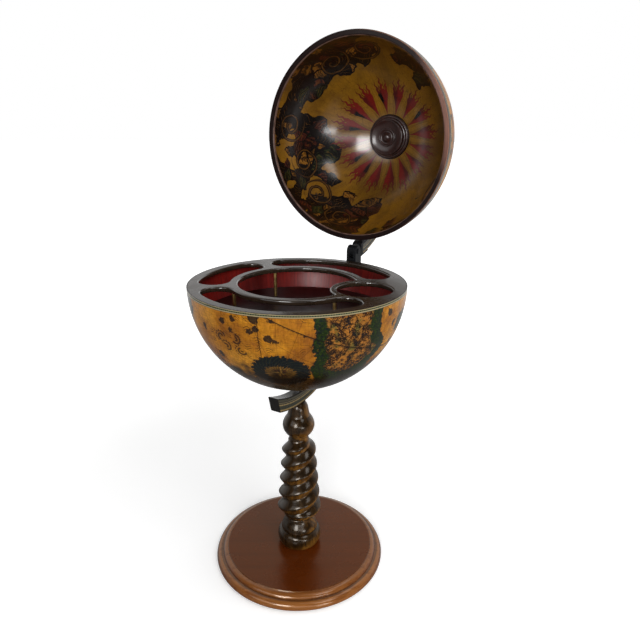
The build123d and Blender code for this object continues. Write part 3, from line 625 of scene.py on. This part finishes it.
def rim_border(colour, drop, longitude):
    """The border by the rim: cream, green and black squares, cream, and a dark line."""
    squares = (longitude * (150 / math.pi)).centred().rise(-0.03, 0.03)
    return coats(
        colour,
        (drop.rise(5.4, 5.1), INK),
        (drop.rise(4.9, 4.6), CREAM),
        (drop.rise(3.5, 3.2), squares.blend(BAND_GREEN, (0.055, 0.08, 0.042))),
        (drop.rise(1.6, 1.3), CREAM),
        (drop.rise(0.6, 0.4), INK),
    )


def ripples(place):
    """The brush marks and fibres of varnish over a print, as a height."""
    return place.noise(55) * 0.85 + place.noise(900) * 0.15


GOLD = (0.235, 0.106, 0.006)
GOLD_DEEP = (0.12, 0.052, 0.004)
GOLD_PALE = (0.28, 0.135, 0.012)
RED = (0.158, 0.008, 0.005)
RED_DEEP = (0.085, 0.006, 0.005)
RUSSET = (0.052, 0.009, 0.004)
TAN = (0.19, 0.076, 0.009)
BROWN = (0.003, 0.0012, 0.0008)
OLIVE = (0.014, 0.019, 0.004)
RAYS = 16
RAY_TURN = 6.9
RAY_START = 39
RAY_SHOULDER = 78
RAY_TIP = 116
SLIM_TIP = RAY_TIP - 14
# The flames of a ray: where each starts across it, its tip in mm, width and phase of its waves.
FLAMES = (
    (0, RAY_TIP, 0.125, 0),
    (0.23, RAY_TIP - 9, 0.11, 2),
    (-0.23, RAY_TIP - 7, 0.11, 4.2),
    (0.12, RAY_TIP - 16, 0.08, 1),
    (-0.12, RAY_TIP - 13, 0.08, 3.1),
)
SCROLLS = 14
SCROLL_MIDDLE = 186
SCROLL_PITCH = 15
LEAVES_PER_METRE = 44
CLUMP_SPOT = (1.1, 0, 0.4)


def draw_sunburst(bench, colour, angle, arc, place):
    """Sixteen red rays round the boss: a wedge that widens, then parts into pointed flames."""
    turned = angle / (TURN / RAYS) - RAY_TURN * RAYS / 360
    cell = (turned + 0.5).floor()
    across = turned - cell
    first, second, third = bench.join(cell, 5, 1).chance()
    waver = place.noise(150) - 0.5
    # wedge from the boss out to its shoulders
    half = (arc - RAY_START) / (RAY_SHOULDER - RAY_START) * (0.315 + first * 0.03)
    wedge = (half - abs(across) + waver * 0.03).rise(-0.01, 0.01)
    shoulder = arc + abs(across) * 30 + waver * 8
    shape = wedge * shoulder.rise(RAY_SHOULDER + 12, RAY_SHOULDER + 10)
    # flames: three long tongues and two short ones that waver outwards
    flames = None
    for spot, tip, width, phase in FLAMES:
        reach = tip + (second - 0.5) * 10
        sway = (arc * 0.55 + phase + third * 3).sin() * 0.03 * arc.rise(70, 96)
        spread = 1 + (arc - RAY_SHOULDER) * (0.01 if spot else 0)
        narrow = ((reach - arc) / (tip - 62)).most(0)
        wide = narrow * width * 1.25 * arc.rise(58, 84)
        tongue = (wide - abs(across - spread * spot - sway)).rise(-0.008, 0.008)
        tongue = tongue * arc.rise(60, 64) * narrow.rise(0, 0.03)
        flames = tongue if flames is None else flames.most(tongue)
    shape = shape.most(flames)
    dark = (across - half * 0.15 + waver * 0.12).rise(0, 0.06)
    dark = dark * arc.rise(RAY_SHOULDER - 22, RAY_SHOULDER - 12) * arc.rise(RAY_SHOULDER + 6, 78)
    red = coats(
        (across + waver * 0.3).rise(-0.05, 0.14).blend(RED, RED_DEEP),
        (arc.rise(88, 112) * 0.5, RED_DEEP),
        (dark * third.rise(0.55, 0.75), BROWN),
    )
    # straight rays between them: plain wedges with a fine red edge
    slim = ((SLIM_TIP - arc) / (RAY_TIP - RAY_START)).most(0) * 0.3
    slim_edge = slim - (0.5 - abs(across))
    light = slim_edge.rise(-0.006, 0.006) * slim.rise(0, 0.01)
    edge = slim_edge.line(0.01, 0.5) * arc.rise(SLIM_TIP, SLIM_TIP - 12)
    outline = (shape.rise(0.02, 0.25) * shape.rise(0.98, 0.75)).rise(0.2, 0.8)
    return coats(
        colour,
        (light * 0.35, GOLD_PALE),
        (edge * 0.5, RUSSET),
        (shape, red),
        (outline * 0.65, BROWN),
    )


def draw_scrolls(bench, colour, angle, arc, flat_width, place):
    """Clumps of leaves and scrolls near the rim, with open ochre ground between them."""
    bent = place.drift(12, 0.05, 1).drift(58, 0.018, 3)
    leaves = bent.cells(LEAVES_PER_METRE)
    middle = leaves.position
    lot = leaves.color.split()
    border = bent.cells(LEAVES_PER_METRE, "DISTANCE_TO_EDGE").distance
    # a leaf is there or not, as a whole, so that the clumps have leafy outlines
    middle_arc = middle.unit().dot(LID_POLE).arccos() * INNER_MM
    leftward = (angle + 1.9).cos()
    chosen = middle + CLUMP_SPOT
    crowd = chosen.noise(13, 2, 0.5, 0.5) + leftward * 0.04 + 0.01 + (lot[2] - 0.5) * 0.05
    inner_edge = chosen.noise(9, 1) * 110 + 84 - leftward * 12
    covered = crowd.rise(0.478, 0.48) * (middle_arc - inner_edge).rise(0, 0.5)
    # dark leaves, with olive, maroon and tan ones among them
    fill = coats(
        lot[0].rise(0.36, 0.37).blend(BROWN, OLIVE),
        (lot[0].rise(0.5, 0.51), RUSSET),
        (lot[0].rise(0.74, 0.75), TAN),
    )
    shade = place.noise(60, 3, 0.6)
    # ribs across each leaf, its way its own
    way = bench.join(*(part - 0.5 for part in lot))
    ribs = ((bent - middle).dot(way.unit()) * 1300 + lot[1] * 6).sin()
    fill = coats(
        fill.scaled(shade.rise(0.35, 0.62) * 0.85 + 0.28),
        (ribs.rise(0.25, 0.75) * 0.85, BROWN),
        (ribs.rise(-0.9, -0.99) * border.rise(0.1, 0.2) * 0.4, TAN),
        (border.rise(0.13, 0.085) * lot[1].rise(0.1, 0.15), BROWN),
    )
    # scrolled stems over them
    turned = angle / (TURN / SCROLLS) + 0.31
    cell = turned.floor()
    first, _, third = bench.join(cell, 9, 2).chance()
    flip = ((cell * 0.5).fraction() - 0.25).rise(-0.01, 0.01) * 2 - 1
    moved = (place.drift(30, 0.012, 3) - place).split()
    x = (turned - cell - 0.5) * flat_width + moved[0] / MM
    y = (arc - SCROLL_MIDDLE + moved[2] / MM) * flip + (first - 0.3) * 30
    away = (x * x + y * y).root()
    off = abs((away / SCROLL_PITCH - y.arctan2(x) / TURN + first).centred() * SCROLL_PITCH)
    curl = away.rise(31, 28) * away.rise(2, 4) * third.rise(0.3, 0.31)
    near_leaves = arc.rise(118, 124)
    return coats(
        colour,
        (covered, fill),
        (off.rise(3.4, 2.6) * curl * near_leaves, BROWN),
        (off.rise(1.5, 1) * curl * near_leaves * (shade - 0.2), TAN),
    )


def draw_lid(bench, place):
    """The print inside the lid, drawn on the point seen from the lid's own centre."""
    x = place.dot(ACROSS)
    y = place.dot(LID_DOWN) * -1
    wide = (x * x + y * y).root()
    arc = wide.arctan2(place.dot(LID_POLE)) * INNER_MM
    angle = x.arctan2(y)
    flat_width = wide * (TURN / SCROLLS / MM)
    paper = bench.use(PAPER, place)
    brushed = bench.join(angle * 30, arc * 0.012, 0).noise(1, 4, 0.6)
    hatch = bench.join(angle * 60, arc * 0.05, 3).noise(1).rise(0.64, 0.7)
    ground = paper.stain.rise(0.36, 0.64).blend(GOLD_DEEP, GOLD)
    ground = ground.scaled(brushed * 0.6 + 0.7)
    ground = (hatch * 0.3 * arc.rise(100, 112)).blend(ground, RUSSET)
    colour = draw_scrolls(bench, ground, angle, arc, flat_width, place)
    colour = draw_sunburst(bench, colour, angle, arc, place)
    colour = arc.rise(41.5, 39.5).blend(colour, BROWN)
    colour = colour.scaled(paper.fibre * 1.2 + 0.42)
    return {"colour": (paper.crackle * 0.45).blend(colour, BROWN)}


LID_PRINT = new_group("lid_print", draw_lid, place=None)


def bowl_finish():
    """The lower half: the map under gloss varnish outside, with painted shade towards the bottom, and brushed red
    lacquer inside.
    """
    bench = Finish("bowl_print")
    place = bench.place() - BOWL_CENTRE
    drop = place.dot(BOWL_POLE) / MM
    printed = bench.use(MAP, place.unit())
    marks = bench.use(HANDLING, place)
    x, y, _ = place.split()
    longitude = y.arctan2(x)
    # Painted shade: the print darkens to near black towards the bottom, below a ragged edge.
    low = (drop + (place.noise(26, 4, 0.65) - 0.5) * 70).rise(84, 106)
    outside = rim_border(printed.colour, drop, longitude)
    outside = (low * 0.94).blend(outside, (0.008, 0.005, 0.003))
    brushed = bench.join(longitude * 46, drop * 0.012, 0).noise(1, 4, 0.65)
    lacquer = brushed.rise(0.3, 0.75).blend((0.12, 0.005, 0.004), (0.235, 0.012, 0.008))
    inner = place.length().rise(*LINING_ENDS)
    return bench.paint(
        relief=(ripples(place) + inner * brushed, 0.00035, 0.5),
        Base_Color=inner.blend(outside, lacquer),
        Roughness=0.26 + marks.smear * 0.16 + marks.scratch * 0.12,
        Coat_Weight=inner * 0.35 + 0.19,
        Coat_Roughness=inner * (0.16 + brushed * 0.16) + 0.12,
        Specular_IOR_Level=0.05,
    )


def lid_finish():
    """The upper half: the map outside, the sunburst and scrolls inside."""
    bench = Finish("lid_print")
    place = bench.place() - LID_CENTRE
    direction = place.unit()
    drop = place.dot(LID_POLE) / MM
    across = direction.dot(ACROSS)
    side = direction.dot(LID_DOWN)
    turned = bench.join(side, across * -1, direction.dot(LID_POLE) * -1)
    printed = bench.use(MAP, turned)
    marks = bench.use(HANDLING, place)
    outside = rim_border(printed.colour, drop - RIM_RING_HEIGHT, across.arctan2(side))
    inner = place.length().rise(*LINING_ENDS)
    return bench.paint(
        relief=(ripples(place), 0.00035, 0.5),
        Base_Color=inner.blend(outside, bench.use(LID_PRINT, place).colour),
        Roughness=0.36 + marks.smear * 0.16 + marks.scratch * 0.12,
        Coat_Weight=inner * 0.72 + 0.18,
        Coat_Roughness=0.165,
        Specular_IOR_Level=inner * 0.05 + 0.05,
    )


# ---- wood, lacquer, iron and brass ----

# A level way across the view, to the right. The column is painted lighter amber on its side that faces it, as
# painted light, and the base's moulding is painted darker where it faces it or the opposite way, as painted shade.
PAINTED_LIGHT_SHADE_WAY = Vector((0.8, 0.6, 0))


def column_finish():
    """Walnut stain under gloss varnish, with painted light: lighter amber on the undersides and on one side."""
    bench = Finish("column_walnut")
    place = bench.place()
    grain = bench.use(GRAIN, place, band=26, stretch=0.07)
    marks = bench.use(HANDLING, place)
    facing = bench.facing()
    patchy = place.noise(36, 3, 0.6) - 0.5
    # Painted light: lighter amber on the side facing that way and on the undersides, broken by patches and the
    # grain.
    painted_lit_side = facing.dot(PAINTED_LIGHT_SHADE_WAY) * 0.78
    under = painted_lit_side - facing.split()[2] * 0.9 + patchy * 0.8 + grain.figure * 0.3
    figure = grain.figure.rise(0.3, 0.75)
    amber = figure.blend((0.09, 0.036, 0.006), (0.205, 0.09, 0.014))
    return bench.paint(
        relief=(grain.figure - grain.pores * 0.4, 0.00008, 0.5),
        Base_Color=coats(
            figure.blend((0.009, 0.0042, 0.0013), (0.025, 0.012, 0.0036)),
            (under.rise(0, 0.85) * 0.95, amber),
            (grain.pores * 0.5, (0.007, 0.004, 0.002)),
            (worn(place, 0.0016) * 0.4, (0.16, 0.07, 0.02)),
        ),
        Roughness=0.27 + marks.smear * 0.14 + grain.pores * 0.1,
        Coat_Weight=0.42, Coat_Roughness=0.16, Specular_IOR_Level=0.12,
        Specular_Tint=(1, 0.7, 0.38),
    )


def base_finish():
    """Mahogany stain, satin, with the moulding's edges rubbed lighter. The moulding is a lighter tone, with
    painted shade on its sides and its upper roll, and a painted shadow line in its groove.
    """
    bench = Finish("base_mahogany")
    place = bench.place()
    x, y, z = place.split()
    boards = bench.join(z * 3, y * 0.87 - x * 0.5, x * 0.87 + y * 0.5)
    grain = bench.use(GRAIN, boards, band=15, stretch=0.05)
    marks = bench.use(HANDLING, place)
    reach = (x * x + y * y).root() / MM
    cloud = place.noise(9, 3, 0.55).rise(0.35, 0.7)
    speckle = bench.join(x * 0.4, y, z).noise(420, 3, 0.6).rise(0.52, 0.66)
    # the moulding, its roll above the groove, and the seam where it meets the flat top. Painted shade darkens the
    # moulding's tone where it faces sideways and on the roll.
    moulded = reach.rise(BASE_SEAM - 1.1, BASE_SEAM + 1.9)
    sideways = bench.facing().dot(PAINTED_LIGHT_SHADE_WAY)
    painted_side_shade = (sideways * sideways).rise(0.1, 0.75)
    roll = (z / MM).rise(BASE_GROOVE + 0.4, BASE_GROOVE + 1.4)
    edge = grain.figure.rise(0.3, 0.75).blend((0.205, 0.068, 0.014), (0.31, 0.118, 0.029))
    # Painted shade: a dark line along the groove in the moulding.
    groove = (z / MM - BASE_GROOVE).line(0.8, 0.6)
    groove = groove * reach.rise(132, 134) * reach.rise(138.5, 136.5)
    seam = (reach - BASE_SEAM).line(0.5, 0.6)
    return bench.paint(
        relief=(grain.figure - grain.pores * 0.5, 0.0001, 0.5),
        Base_Color=coats(
            grain.figure.rise(0.2, 0.85).blend((0.074, 0.0125, 0.0008), (0.092, 0.0165, 0.0011)),
            (cloud * 0.45, (0.094, 0.018, 0.0016)),
            (speckle * 0.3, (0.05, 0.016, 0.006)),
            (grain.pores * 0.35, (0.04, 0.013, 0.006)),
            # the moulding's lighter tone, less of it under the painted shade of the sides and the roll
            (moulded * (0.74 - painted_side_shade * 0.42 - roll * 0.22), edge),
            (groove * 0.62, (0.018, 0.005, 0.002)),
            (seam * 0.6, (0.04, 0.013, 0.005)),
            (worn(place, 0.0022) * 0.45, (0.3, 0.12, 0.036)),
            (marks.dust * 0.05, (0.3, 0.27, 0.24)),
        ),
        Roughness=0.22 + marks.smear * 0.12 + marks.scratch * 0.12,
        Coat_Weight=moulded * 0.5 + 0.05,
        Coat_Roughness=0.12, Specular_IOR_Level=0.3, Specular_Tint=(1, 0.62, 0.26),
    )


def boss_finish():
    """Dark purplish-brown stained beech, with the fine rings that turning leaves."""
    bench = Finish("boss_wood")
    place = bench.place() - LID_CENTRE
    away = place.cross(LID_POLE).length()
    grain = bench.use(GRAIN, place * (1, 0.3, 1), band=14)
    rings = bench.join(away, place.dot(LID_POLE), 0).noise(1300, 2, 0.6)
    return bench.paint(
        relief=(rings * 0.5 + grain.figure * 0.5, 0.0001, 0.6),
        Base_Color=coats(
            grain.figure.rise(0.3, 0.8).blend((0.017, 0.005, 0.0035), (0.038, 0.012, 0.009)),
            (worn(place) * 0.7, (0.2, 0.115, 0.095)),
            (rings.rise(0.62, 0.7) * 0.4, (0.03, 0.015, 0.012)),
        ),
        Roughness=0.3 + rings * 0.16,
        Coat_Weight=0.62, Coat_Roughness=0.2, Specular_IOR_Level=0.12,
    )


# Bands across a printed arm, as shares of its depth from the inside out, with their inks.
ARM_EDGE_INK = (0.02, 0.013, 0.008)
ARM_BANDS = (
    (0.07, (0.05, 0.044, 0.026)),
    (0.22, (0.006, 0.005, 0.004)),
    (0.27, (0.105, 0.086, 0.046)),
    (0.35, (0.006, 0.005, 0.004)),
    (0.41, (0.23, 0.165, 0.068)),
    (0.5, (0.012, 0.014, 0.008)),
    (0.78, (0.215, 0.145, 0.052)),
    (0.89, (0.02, 0.013, 0.007)),
)


def arm_finish(name, centre, pole, hingeward):
    """A curved arm: black faces, dark brown ends, and printed bands along both sides."""
    bench = Finish(name)
    place = bench.place() - centre
    x, y, z = place.split()
    reach = (y * y + z * z).root()
    degrees = place.dot(hingeward).arctan2(place.dot(pole)) * (180 / math.pi)
    waver = place.noise(260, 3, 0.6) - 0.5
    share = (reach - ARM_INNER) / (ARM_OUTER_POLE - ARM_INNER - degrees * ARM_THINNING)
    share = share + waver * 0.03
    # the bands, with two rows of checks and a mark every five degrees on the green one
    bands = [(share.rise(start - 0.012, start + 0.012), ink) for start, ink in ARM_BANDS]
    squares = degrees.centred().rise(-0.04, 0.04)
    shifted = (degrees + 0.5).centred().rise(-0.04, 0.04)
    checks = squares * share.rise(0.53, 0.55) * share.rise(0.64, 0.62)
    checks = checks.most(shifted * share.rise(0.64, 0.66) * share.rise(0.75, 0.73))
    fives = (degrees / 5).centred().line(0.03) * share.rise(0.41, 0.43) * share.rise(0.78, 0.76)
    printed = coats(
        ARM_EDGE_INK,
        *bands,
        (checks * 0.6, (0.055, 0.056, 0.03)),
        (fives * 0.8, (0.008, 0.006, 0.004)),
    )
    facing = bench.facing()
    sideways = abs(facing.split()[0]).rise(0.8, 0.92)
    inward = facing.dot(bench.join(0, y, z).unit())
    ends = abs(inward).rise(0.55, 0.4) * (1 - sideways)
    grain = bench.use(GRAIN, bench.join(x, reach, degrees * 0.003), band=16)
    end_grain = grain.figure.rise(0.3, 0.8).blend((0.02, 0.012, 0.006), (0.05, 0.029, 0.014))
    paper = bench.use(PAPER, place)
    marks = bench.use(HANDLING, place)
    colour = coats(
        sideways.blend((0.006, 0.005, 0.005), printed),
        (ends, end_grain),
        (worn(place, 0.001) * 0.5, (0.12, 0.07, 0.03)),
    )
    return bench.paint(
        relief=(paper.fibre, 0.00012, 0.5),
        Base_Color=colour.scaled(paper.fibre * 1.1 + 0.45),
        Roughness=0.28 + marks.smear * 0.16 + waver * 0.1,
        Coat_Weight=0.14, Coat_Roughness=0.16, Specular_IOR_Level=0.12,
    )


def lacquer_finish(name, shade, light, roughness):
    """Brown gloss lacquer: nearly black-brown, with smears, fine scratches and settled dust."""
    bench = Finish(name)
    place = bench.place()
    marks = bench.use(HANDLING, place)
    cloud = place.noise(30, 4, 0.6).rise(0.35, 0.7)
    x, y, z = place.split()
    streak = bench.join(x, y * 0.15, z).noise(320, 3, 0.6).rise(0.4, 0.8)
    rounded = abs(bench.facing().split()[2]).rise(0.99, 0.9)
    return bench.paint(
        relief=(place.noise(40) + marks.scratch * -0.15, 0.00012, 0.25),
        Base_Color=coats(
            (cloud * 0.5 + streak * 0.5).blend(shade, light),
            (worn(place, 0.0014) * 0.15, (0.085, 0.048, 0.03)),
            (marks.dust * 0.08, (0.26, 0.23, 0.19)),
        ),
        Roughness=roughness + marks.smear * 0.12 + marks.scratch * 0.15,
        Coat_Weight=rounded * 0.78 + 0.2,
        Coat_Roughness=0.09, Specular_IOR_Level=0.1,
    )


def rim_ring_finish():
    """The lid's rim ring: black-brown stain, worn on its corners on one side. Painted light: a thin pinkish
    highlight line along its inner edge, and on that side a pale highlight line along its outer edge and a pinkish
    sheen on its front face.
    """
    bench = Finish("lid_rim")
    place = bench.place() - LID_CENTRE
    away = place.cross(LID_POLE).length() / MM
    marks = bench.use(HANDLING, place)
    streak = bench.join(away * 0.02, place.split()[0], 0).noise(160, 4, 0.6)
    # Patches that break up the painted highlight lines.
    rubbed = place.noise(60, 3, 0.6).rise(0.3, 0.55)
    side = place.dot(SHEEN_AND_WEAR_SIDE) / GLOBE_RADIUS
    # Painted sheen on the front face, on the side facing that way.
    sheen_and_wear_side = side.rise(0.78, 1)
    front = bench.facing().dot(LID_POLE).rise(-0.6, -0.9)
    # Painted highlights: a thin line along the inner edge, and one along the outer edge on the lit side.
    inner_line = (away - RIM_RING_INNER - 0.2).line(0.42, 0.6)
    outer_line = (away - RIM_RING_OUTER).line(0.5, 0.6) * side.rise(0.2, 0.7)
    return bench.paint(
        relief=(streak, 0.00008, 0.4),
        Base_Color=coats(
            streak.rise(0.35, 0.7).blend((0.007, 0.0035, 0.003), (0.018, 0.008, 0.007)),
            (inner_line * (rubbed * 0.5 + 0.4), (0.19, 0.11, 0.085)),
            (front * sheen_and_wear_side * (streak.rise(0.35, 0.65) * 0.35 + 0.5), (0.325, 0.16, 0.122)),
            (outer_line * (rubbed * 0.4 + 0.4), (0.36, 0.17, 0.1)),
            # edge wear, kept to the lit side, so partly painted sheen
            (worn(place) * sheen_and_wear_side * 0.5, (0.15, 0.075, 0.055)),
        ),
        Roughness=0.28 + marks.smear * 0.15 + marks.scratch * 0.12,
        Coat_Weight=0.12, Coat_Roughness=0.14, Specular_IOR_Level=0.08,
    )


def iron_finish():
    """Black painted iron, chipped to grey on its corners."""
    bench = Finish("black_iron")
    place = bench.place()
    chipped = worn(place, 0.001)
    marks = bench.use(HANDLING, place)
    skin = place.noise(340, 3, 0.6)
    return bench.paint(
        relief=(skin, 0.0002, 0.5),
        Base_Color=coats(
            skin.rise(0.35, 0.7).blend((0.0045, 0.005, 0.006), (0.012, 0.013, 0.015)),
            (marks.dust * 0.2, (0.12, 0.11, 0.1)),
            (chipped * 0.8, (0.12, 0.12, 0.125)),
        ),
        Metallic=chipped * 0.7,
        Roughness=0.36 + skin * 0.2 - chipped * 0.08,
        Specular_IOR_Level=0.08,
    )


def metal_finish(name, bright, tarnish, roughness, amount):
    """Bare metal: turned marks, and tarnish in patches."""
    bench = Finish(name)
    place = bench.place()
    x, y, z = place.split()
    turned = bench.join(x * 0.2, y * 0.2, z).noise(2200, 2, 0.6)
    patches = place.drift(70, 0.01).noise(90, 4, 0.65).rise(0.4, 0.68)
    wear = bench.use(EDGE_WEAR, place, reach=0.0006)
    return bench.paint(
        relief=(turned, 0.00006, 0.5),
        Base_Color=coats((patches * amount).blend(bright, tarnish), (wear.edge * 0.4, bright)),
        Metallic=1,
        Roughness=roughness + patches * 0.22 + turned * 0.08,
    )


def felt_finish():
    """Dark green felt: matted fibres and a few pale ones."""
    bench = Finish("felt")
    place = bench.place()
    mat = place.drift(220, 0.004).noise(700, 4, 0.7)
    loose = place.drift(300, 0.006).noise(1400).rise(0.6, 0.7)
    tone = mat.rise(0.35, 0.7).blend((0.012, 0.022, 0.012), (0.045, 0.07, 0.04))
    return bench.paint(
        relief=(mat, 0.0006, 0.8),
        Base_Color=(loose * 0.4).blend(tone, (0.12, 0.16, 0.11)),
        Roughness=0.95, Sheen_Weight=0.4, Sheen_Roughness=0.5,
    )


BRASS = ((0.5, 0.35, 0.13), (0.16, 0.1, 0.045))
STEEL = ((0.5, 0.5, 0.51), (0.22, 0.2, 0.18))
RACK_BROWN = ((0.016, 0.01, 0.006), (0.036, 0.023, 0.014))
FLOOR_BROWN = ((0.005, 0.001, 0.001), (0.01, 0.002, 0.002))
FINISHES = {
    "felt": felt_finish(),
    "base_wood": base_finish(),
    "column_wood": column_finish(),
    "lower_arm": arm_finish("lower_arm", BOWL_CENTRE, BOWL_POLE, Vector((0, 1, 0))),
    "upper_arm": arm_finish("upper_arm", LID_CENTRE, LID_POLE, LID_POLE.cross(ACROSS)),
    "steel": metal_finish("zinc_steel", *STEEL, 0.3, 0.5),
    "brass": metal_finish("dull_brass", *BRASS, 0.34, 0.9),
    "black_iron": iron_finish(),
    "bowl_shell": bowl_finish(),
    "lid_shell": lid_finish(),
    "lid_rim_ring": rim_ring_finish(),
    "rack_brown": lacquer_finish("rack_lacquer", *RACK_BROWN, 0.24),
    "floor_brown": lacquer_finish("floor_lacquer", *FLOOR_BROWN, 0.34),
    "boss_wood": boss_finish(),
}


def finish_nodes():
    """Each CAD piece gets the finish of its own name, or of its material slot."""
    slots = {part["node"]: part["material_slot"] for part in frame["record"]["subparts"]}
    for name, node in frame["nodes"].items():
        node.data.materials.clear()
        node.data.materials.append(FINISHES.get(name) or FINISHES[slots[name]])


# ---- light, air and floor ----

WINDOWS_FACE = Vector((0, 0, 0.45))
# Bearing and rise in degrees, distance, width and height in metres, and watts.
WINDOWS = {
    "left_window": (-66, 14, 2.4, 0.55, 0.55, 23),
    "left_pane": (-78.4, 11.4, 2.4, 0.8, 0.8, 42),
    "left_wall": (-104, 18, 2.8, 1.5, 1.3, 14),
    "right_window": (-20, 43, 2.6, 0.9, 1, 16),
    "low_light": (-30.5, -5, 2.4, 0.7, 0.3, 9),
    "room_light": (-48, 3, 2.4, 1.5, 0.35, 6),
    "front_fill": (-35, 25, 2.6, 0.8, 0.8, 2),
    "side_window": (10, 12, 2.6, 0.8, 0.8, 7),
    "ceiling": (60, 75, 2.4, 1.8, 1.8, 18),
}
NOT_MIRRORED = ("left_window", "front_fill", "side_window")
ONLY_MIRRORED = ("left_pane", "left_wall")


def add_window(name, azimuth, elevation, distance, width, height, watts):
    """A soft rectangular lamp at a bearing from the object, turned to face it."""
    lamp = bpy.data.lights.new(name, "AREA")
    lamp.shape = "RECTANGLE"
    lamp.size = width
    lamp.size_y = height
    lamp.energy = watts
    window = bpy.data.objects.new(name, lamp)
    bpy.context.scene.collection.objects.link(window)
    way = towards(azimuth, elevation)
    window.visible_glossy = name not in NOT_MIRRORED
    window.visible_diffuse = name not in ONLY_MIRRORED
    window.location = WINDOWS_FACE + way * distance
    window.rotation_euler = (-way).to_track_quat("-Z", "Y").to_euler()


AIR_LIGHT = 0.32
ROOM_MIRRORED = 0.04
BACKDROP_WAY = Vector((-0.5, 0.86, -0.1))


def mirror_level(way, full):
    """How bright the air or floor is in gloss: full towards the backdrop, dim in the room."""
    return ROOM_MIRRORED + way.unit().dot(BACKDROP_WAY).rise(-0.3, 0.35) * (full - ROOM_MIRRORED)


def set_air():
    """A studio's air: a white backdrop on the far side, a dimmer room on the near side.

    It is white wherever it is seen, and only mirrors and gloss tell the two sides apart.
    """
    world = bpy.data.worlds.new("studio_air")
    world.use_nodes = True
    world.node_tree.nodes.clear()
    bench = Bench(world.node_tree)
    path = bench.named("ShaderNodeLightPath")
    mirrored = path.is_glossy_ray
    plain = path.is_camera_ray.most(path.is_transmission_ray)
    level = plain + mirrored * (1 - plain) * mirror_level(
        bench.one("ShaderNodeTexCoord", "Generated"), 1
    )
    level = level + (1 - plain.most(mirrored)) * AIR_LIGHT
    air = {"Color": (1, 1, 1), "Strength": level}
    bench.add("ShaderNodeOutputWorld", {"Surface": bench.one("ShaderNodeBackground", 0, air)})
    bpy.context.scene.world = world


FLOOR_RADIUS = 30
FLOOR_WHITENS = (0.35, 2)
FLOOR_BOUNCE = (0.42, 0.41, 0.4)
FLOOR_PAPER = ((0.84, 0.84, 0.84), (0.88, 0.88, 0.88))
FLOOR_MIRRORED = 0.9
FLOOR_GLOWS = (0.4, 0.55)


def add_floor():
    """A plain pale floor that keeps the object's shadow, and glows white further out."""
    bpy.ops.mesh.primitive_circle_add(vertices=96, radius=FLOOR_RADIUS, fill_type="NGON")
    floor = bpy.context.object
    floor.name = "floor"
    bench = Finish("floor_paper")
    place = bench.place()
    x, y, _ = place.split()
    path = bench.named("ShaderNodeLightPath")
    seen = path.is_camera_ray
    mirrored = path.is_glossy_ray.most(path.is_transmission_ray)
    whitens = (x * x + y * y).root().rise(*FLOOR_WHITENS)
    near_glow, far_glow = FLOOR_GLOWS
    glow = seen * (whitens * far_glow + near_glow)
    glow = glow + mirrored * (whitens * mirror_level(place, FLOOR_MIRRORED))
    material = bench.paint(
        Base_Color=seen.blend(FLOOR_BOUNCE, place.noise(30, 3, 0.6).blend(*FLOOR_PAPER)),
        Emission_Color=(1, 1, 1),
        Emission_Strength=glow,
        Roughness=0.9, Specular_IOR_Level=0,
    )
    floor.data.materials.append(material)


bpy.context.scene.view_settings.view_transform = "Standard"
set_camera()
set_air()
for name, numbers in WINDOWS.items():
    add_window(name, *numbers)
add_floor()
finish_nodes()
